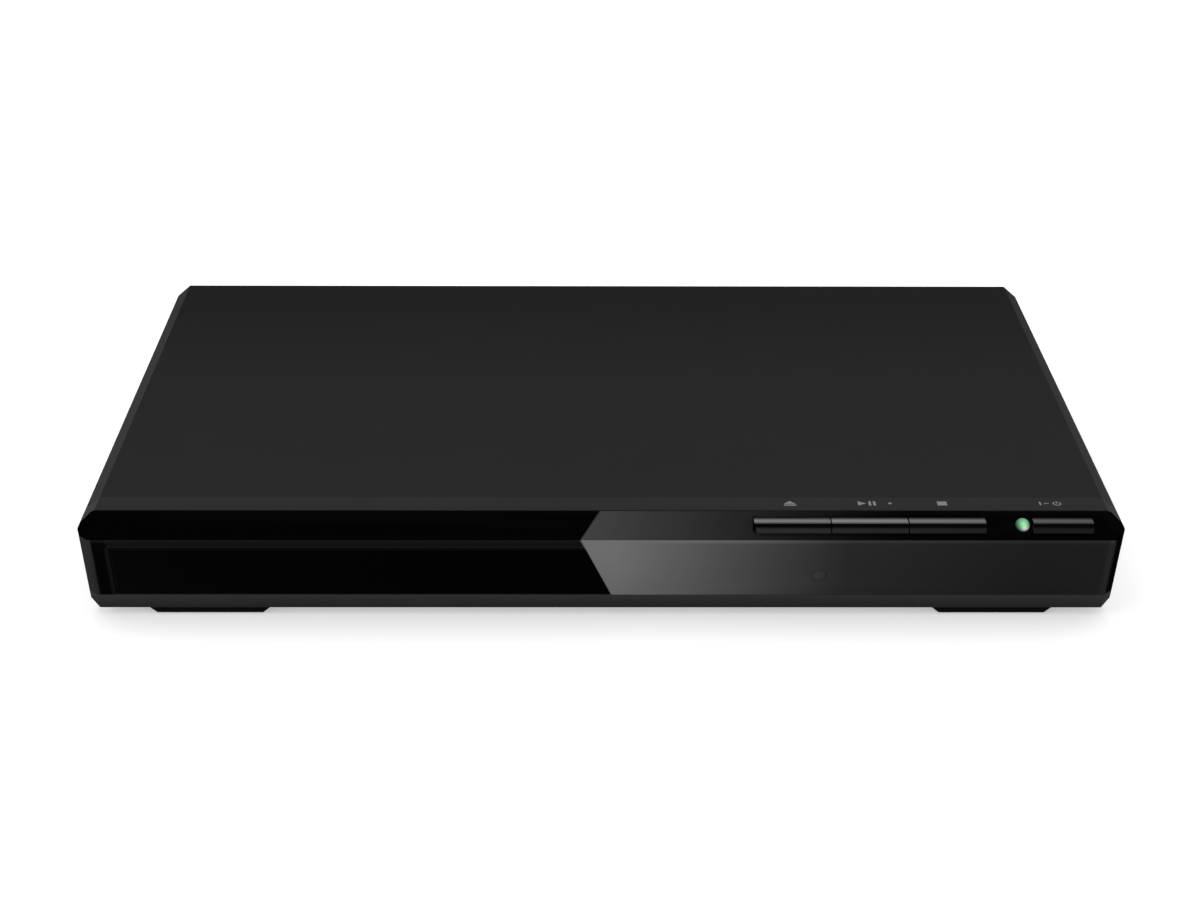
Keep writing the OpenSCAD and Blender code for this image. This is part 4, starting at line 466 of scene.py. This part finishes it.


# cover_paint, bezel_plastic, window_gloss, door_gloss and key_satin hold painted light and shade in their colour
# nodes
FINISHES = {
    "cover_paint": dict(colour_node=cover_colour, rough=0.62, specular=0.0, coat=0.09, coat_rough=0.62,
                        mottle=0.02, grain=(4200, 0.0035)),
    "pan_steel": dict(colour=grey(0.42), rough=0.42, metallic=0.9, mottle=0.1, grain=(500, 0.01), cells=True),
    "rear_steel": dict(colour=grey(0.012), rough=0.6, specular=0.25, grain=(2400, 0.03)),
    "bezel_plastic": dict(colour_node=bezel_colour, rough=0.5, specular=0.0, coat=0.1, coat_rough=0.5,
                          dull_node=bezel_dull, mottle=0.02, grain=(4200, 0.006), cells=True),
    "window_gloss": dict(colour_node=front_colour, rough=0.12, specular=0.0, coat=0.018, coat_rough=0.12,
                         dull_node=window_dull, mottle=0.02, grain=(140, 0.004)),
    "door_gloss": dict(colour_node=door_colour, rough=0.1, specular=0.006, mottle=0.05, grain=(140, 0.004)),
    "foot_plastic": dict(colour=grey(0.003), rough=0.6, specular=0.03, grain=(3000, 0.02), cells=True),
    "pad_rubber": dict(colour=grey(0.02), rough=0.85, specular=0.3, grain=(1800, 0.04)),
    "screw_black": dict(colour=grey(0.03), rough=0.35, metallic=0.7, grain=(900, 0.01)),
    "screw_zinc": dict(colour=(0.55, 0.54, 0.5), rough=0.3, metallic=1.0, grain=(900, 0.01)),
    "key_satin": dict(colour_node=key_colour, rough=0.3, specular=0.02, mottle=0.03, grain=(3000, 0.004),
                      brushed=(0.02, 1.0, 1.0)),
    "remote_lens": dict(colour_node=lens_colour, rough=0.08, specular=0.02, grain=(200, 0.004)),
    "board_green": dict(colour_node=board_colour(GREEN, COPPER_GREEN), rough=0.4, grain=(900, 0.01)),
    "board_tan": dict(colour_node=board_colour(TAN, COPPER_TAN), rough=0.55, grain=(900, 0.01)),
    "switch_grey": dict(colour=grey(0.12), rough=0.5, grain=(2500, 0.01)),
    "tray_plastic": dict(colour=(0.016, 0.016, 0.018), rough=0.48, specular=0.35, grain=(2600, 0.02), cells=True),
    "frame_plastic": dict(colour=(0.5, 0.5, 0.47), rough=0.5, grain=(2200, 0.02)),
    "gear_acetal": dict(colour=(0.72, 0.72, 0.68), rough=0.35, grain=(2200, 0.01)),
    "motor_steel": dict(colour=grey(0.5), rough=0.3, metallic=1.0, grain=(500, 0.008), brushed=(1, 1, 0.03)),
    "sheet_zinc": dict(colour=(0.55, 0.56, 0.57), rough=0.4, metallic=1.0, grain=(260, 0.02), cells=True),
    "deck_plastic": dict(colour=grey(0.012), rough=0.5, specular=0.35, grain=(2600, 0.02), cells=True),
    "rod_steel": dict(colour=grey(0.65), rough=0.12, metallic=1.0, grain=(900, 0.003)),
    "sled_metal": dict(colour=grey(0.25), rough=0.45, metallic=0.9, grain=(1200, 0.02)),
    "lens_clear": dict(colour=(0.25, 0.3, 0.42), rough=0.05, specular=0.8, coat=1.0, grain=(300, 0.002)),
    "brass": dict(colour=(0.6, 0.42, 0.12), rough=0.25, metallic=1.0, grain=(900, 0.005)),
    "chip_black": dict(colour=grey(0.015), rough=0.6, grain=(2600, 0.01)),
    "sink_alloy": dict(colour=grey(0.5), rough=0.35, metallic=1.0, grain=(700, 0.01), brushed=(1, 0.03, 1)),
    "can_sleeve": dict(colour=(0.008, 0.012, 0.06), rough=0.25, grain=(600, 0.006)),
    "sheet_fibre": dict(colour=grey(0.08), rough=0.7, grain=(1500, 0.02)),
    "tape_yellow": dict(colour=(0.65, 0.45, 0.04), rough=0.35, grain=(500, 0.02)),
    "fuse_glass": dict(colour=grey(0.75), rough=0.05, specular=0.6, transmission=0.6, grain=(300, 0.002)),
    "socket_black": dict(colour=grey(0.012), rough=0.45, specular=0.4, grain=(2600, 0.01), cells=True),
    "jack_nickel": dict(colour=(0.66, 0.64, 0.6), rough=0.18, metallic=1.0, grain=(700, 0.003)),
    "jack_colour": dict(colour_node=jack_colours, rough=0.35, mottle=0.04, grain=(1800, 0.008)),
    "cable_white": dict(colour=grey(0.7), rough=0.45, grain=(1600, 0.01), brushed=(1, 0.05, 1)),
    "wire_red": dict(colour=(0.45, 0.02, 0.02), rough=0.4, grain=(900, 0.006)),
    "symbol_print": dict(colour=grey(0.2), rough=0.5, specular=0.1, grain=(2500, 0.01)),
}
materials = {name: surface(name, **finish) for name, finish in FINISHES.items()}
materials["lamp_green"] = lamp_material()

# ---------------------------------------------------------------- CAD nodes: finish, soft edges and shading
SHARP_ANGLE = math.radians(32)
FLAT_ANGLE = math.radians(0.4)
WELD_DISTANCE = 1e-6
EDGE_SEGMENTS = 3
SMALL_EDGE = 0.12
EDGE_WIDTHS = {  # where the rounding differs from SMALL_EDGE, in mm
    "top_cover": 0.35, "front_bezel": 0.3, "front_window": 0.22, "tray_door": 0.25, "bottom_pan": 0.3,
    "rear_panel": 0.2, "disc_tray": 0.3, "feet": 0.5, "foot_pads": 0.15, "mains_inlet": 0.25, "jack_block": 0.25,
    "jack_inserts": 0.1, "video_socket": 0.1, "cover_screws": 0.15,
}


def edge_shading():
    """Geometry nodes that shade smooth and keep sharp edges sharp."""
    tree = bpy.data.node_groups.new("edge_shading", "GeometryNodeTree")
    for direction in ("INPUT", "OUTPUT"):
        tree.interface.new_socket("Geometry", in_out=direction, socket_type="NodeSocketGeometry")
    start, end = tree.nodes.new("NodeGroupInput"), tree.nodes.new("NodeGroupOutput")
    smooth = tree.nodes.new("GeometryNodeSetShadeSmooth")
    sharp = tree.nodes.new("GeometryNodeSetShadeSmooth")
    sharp.domain = "EDGE"
    sharp.inputs["Shade Smooth"].default_value = False
    angle = tree.nodes.new("GeometryNodeInputMeshEdgeAngle")
    steep = tree.nodes.new("FunctionNodeCompare")
    steep.operation = "GREATER_THAN"
    steep.inputs[1].default_value = SHARP_ANGLE
    tree.links.new(start.outputs[0], smooth.inputs["Geometry"])
    tree.links.new(smooth.outputs[0], sharp.inputs["Geometry"])
    tree.links.new(angle.outputs["Unsigned Angle"], steep.inputs[0])
    tree.links.new(steep.outputs[0], sharp.inputs["Selection"])
    tree.links.new(sharp.outputs[0], end.inputs[0])
    return tree


shading = edge_shading()


def shade(piece):
    for polygon in piece.data.polygons:
        polygon.use_smooth = True
    piece.modifiers.new("shading", "NODES").node_group = shading


def finish_edges(piece, width):
    """Merges a solid's facets and rounds its edges."""
    weld = piece.modifiers.new("weld", "WELD")
    weld.merge_threshold = WELD_DISTANCE
    flat = piece.modifiers.new("flat", "DECIMATE")
    flat.decimate_type = "DISSOLVE"
    flat.angle_limit = FLAT_ANGLE
    bevel = piece.modifiers.new("edges", "BEVEL")
    bevel.width = width * MM
    bevel.segments = EDGE_SEGMENTS
    bevel.limit_method = "ANGLE"
    bevel.angle_limit = SHARP_ANGLE
    bevel.harden_normals = True
    bevel.use_clamp_overlap = True


slot_of = {part["node"]: part["material_slot"] for part in frame["record"]["subparts"]}
for node_name, node in frame["nodes"].items():
    node.data.materials.clear()
    node.data.materials.append(materials[slot_of[node_name]])
    finish_edges(node, EDGE_WIDTHS.get(node_name, SMALL_EDGE))
    shade(node)


# ---------------------------------------------------------------- added pieces
def mesh_piece(name, build, body, material):
    bm = bmesh.new()
    build(bm)
    bmesh.ops.recalc_face_normals(bm, faces=bm.faces)
    mesh = bpy.data.meshes.new(name)
    bm.to_mesh(mesh)
    bm.free()
    piece = bpy.data.objects.new(name, mesh)
    scene.collection.objects.link(piece)
    mesh.materials.append(materials[material])
    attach(piece, body)
    return piece


PRINT_T, PRINT_SUNK = 0.003, 0.012  # how far a print stands out of the top, and reaches into it
PRINT_Y = -93.2


def plate(bm, outline):
    """A thin printed shape on the top surface. The outline is in mm, as (x, y)."""
    low = [bm.verts.new(mm(x, y, TOP_Z - PRINT_SUNK)) for x, y in outline]
    high = [bm.verts.new(mm(x, y, TOP_Z + PRINT_T)) for x, y in outline]
    bm.faces.new(low[::-1])
    bm.faces.new(high)
    for i in range(len(outline)):
        j = (i + 1) % len(outline)
        bm.faces.new((low[i], low[j], high[j], high[i]))


def oblong(x, y, w, h):
    return [(x - w / 2, y - h / 2), (x + w / 2, y - h / 2), (x + w / 2, y + h / 2), (x - w / 2, y + h / 2)]


def dot(x, y, r, steps=16):
    turns = [2 * math.pi * i / steps for i in range(steps)]
    return [(x + r * math.cos(t), y + r * math.sin(t)) for t in turns]


def arc(x, y, r, thick, start, end, steps=20):
    """Outlines of the short pieces that make an arc. The angles are in degrees."""
    turns = [math.radians(start + (end - start) * i / steps) for i in range(steps + 1)]
    outer = [(x + r * math.cos(t), y + r * math.sin(t)) for t in turns]
    inner = [(x + (r - thick) * math.cos(t), y + (r - thick) * math.sin(t)) for t in turns]
    return [[outer[i], outer[i + 1], inner[i + 1], inner[i]] for i in range(steps)]


MARKS = {
    "eject_mark": [[(56.0, PRINT_Y - 0.3), (59.8, PRINT_Y - 0.3), (57.9, PRINT_Y + 1.6)],
                   oblong(57.9, PRINT_Y - 1.25, 3.8, 0.8)],
    "play_mark": [[(78.9, PRINT_Y - 1.5), (81.5, PRINT_Y), (78.9, PRINT_Y + 1.5)],
                  oblong(82.6, PRINT_Y, 0.8, 3.0), oblong(84.0, PRINT_Y, 0.8, 3.0)],
    "play_dot": [dot(88.8, PRINT_Y, 0.6)],
    "stop_mark": [oblong(104.9, PRINT_Y, 3.0, 2.8)],
    "power_mark": [oblong(135.2, PRINT_Y, 0.5, 2.4), oblong(137.1, PRINT_Y, 1.5, 0.45),
                   *arc(140.4, PRINT_Y - 0.1, 1.35, 0.45, 125, 415), oblong(140.4, PRINT_Y + 0.8, 0.45, 1.5)],
}


def print_mark(outlines):
    def build(bm):
        for outline in outlines:
            plate(bm, outline)
    return build


for label, outlines in MARKS.items():
    mesh_piece(label, print_mark(outlines), "casing", material="symbol_print")

# Domed lens of the power lamp, in place of the plain rod. Its profile is (radius, height) in mm
LAMP_DEEP = 3.4
LAMP_OUT = Vector((0.0, -7.1, 6.9)).normalized()
LAMP_PROFILE = [(0.0, 0.55), (0.6, 0.52), (1.2, 0.42), (1.7, 0.22), (2.05, -0.1), (LAMP_R, -0.5),
                (LAMP_R, -LAMP_DEEP), (0.0, -LAMP_DEEP)]


def lathe(profile, matrix, steps=40):
    """Turns a profile round the matrix's Z axis."""
    def ring(bm, r, h):
        if r == 0:
            return [bm.verts.new(matrix @ mm(0, 0, h))]
        turns = [2 * math.pi * i / steps for i in range(steps)]
        return [bm.verts.new(matrix @ mm(r * math.cos(t), r * math.sin(t), h)) for t in turns]

    def build(bm):
        rings = [ring(bm, r, h) for r, h in profile]
        for a, b in zip(rings, rings[1:]):
            for i in range(steps):
                j = (i + 1) % steps
                corners = [a[i % len(a)], a[j % len(a)], b[j % len(b)], b[i % len(b)]]
                bm.faces.new(list(dict.fromkeys(corners)))
    return build


lamp_frame = Matrix.Translation(mm(LAMP_X, LAMP_Y, LAMP_Z)) @ LAMP_OUT.to_track_quat("Z", "Y").to_matrix().to_4x4()
lamp = mesh_piece("lamp_lens", lathe(LAMP_PROFILE, lamp_frame), "casing", material="lamp_green")
shade(lamp)
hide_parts("power_lamp")

# ---------------------------------------------------------------- floor, world, lights and camera
FLOOR_SIZE, FLOOR_CUTS = 6.0, 8
FLOOR_DARK, FLOOR_PALE, FLOOR_LIFT = grey(0.83), grey(0.87), 0.42


def floor_material():
    """Pale floor that reads as white to the camera, keeps the shadow and is clear from below."""
    n = Nodes(bpy.data.materials.new("pale_floor"))
    diffuse = n.fill(n.add("ShaderNodeBsdfDiffuse"), Color=n.mix(n.noise(6.0, 3.0), FLOOR_DARK, FLOOR_PALE))
    lift = n.fill(n.add("ShaderNodeEmission"), Color=grey(1.0), Strength=n.product(n.seen(), FLOOR_LIFT))
    both, pick = n.add("ShaderNodeAddShader"), n.add("ShaderNodeMixShader")
    below = n.add("ShaderNodeNewGeometry").outputs["Backfacing"]
    clear = n.add("ShaderNodeBsdfTransparent").outputs[0]
    for source, target in ((diffuse.outputs[0], both.inputs[0]), (lift.outputs[0], both.inputs[1]),
                           (below, pick.inputs[0]), (both.outputs[0], pick.inputs[1]), (clear, pick.inputs[2]),
                           (pick.outputs[0], n.surface)):
        n.link(source, target)
    return n.owner


bpy.ops.mesh.primitive_grid_add(size=FLOOR_SIZE, x_subdivisions=FLOOR_CUTS, y_subdivisions=FLOOR_CUTS)
floor = bpy.context.object
floor.name = "floor"
floor.data.materials.append(floor_material())

WORLD_FILL = 0.7
scene.world = bpy.data.worlds.new("studio")
studio = Nodes(scene.world, "ShaderNodeOutputWorld")
background = studio.fill(studio.add("ShaderNodeBackground"), Color=grey(1.0),
                         Strength=studio.span(studio.seen(), WORLD_FILL, 1.0))
studio.link(background.outputs[0], studio.surface)

LIGHTS = {  # place and size in m, power in W; each points at the object
    "top_light": ((0.0, -0.1, 1.5), (1.6, 1.2), 5.0),
    "left_light": ((-1.2, -0.9, 0.8), (0.8, 0.8), 5.0),
}
for name, (place, size, power) in LIGHTS.items():
    light = bpy.data.lights.new(name, "AREA")
    light.shape = "RECTANGLE"
    light.size, light.size_y = size
    light.energy = power
    soft_light = bpy.data.objects.new(name, light)
    scene.collection.objects.link(soft_light)
    soft_light.location = place
    soft_light.rotation_euler = (-Vector(place)).to_track_quat("-Z", "Y").to_euler()

# The camera that a fit of the photograph's outlines gave
CAMERA_AT = (-0.00745, -0.74838, 0.35463)
PITCH, YAW, ROLL = math.radians(24.465), math.radians(0.59), math.radians(0.292)
SENSOR_WIDTH, FOCAL_LENGTH = 36.0, 70.821
ahead = Vector((math.sin(YAW) * math.cos(PITCH), math.cos(YAW) * math.cos(PITCH), -math.sin(PITCH)))
level = Vector((math.cos(YAW), -math.sin(YAW), 0.0))
upright = level.cross(ahead)
right = level * math.cos(ROLL) + upright * math.sin(ROLL)
up = upright * math.cos(ROLL) - level * math.sin(ROLL)
camera_data = bpy.data.cameras.new("camera")
camera_data.sensor_fit = "HORIZONTAL"
camera_data.sensor_width = SENSOR_WIDTH
camera_data.lens = FOCAL_LENGTH
camera = bpy.data.objects.new("camera", camera_data)
scene.collection.objects.link(camera)
turn = Matrix((right, up, -ahead)).transposed()
camera.matrix_world = Matrix.Translation(CAMERA_AT) @ turn.to_4x4()
scene.camera = camera
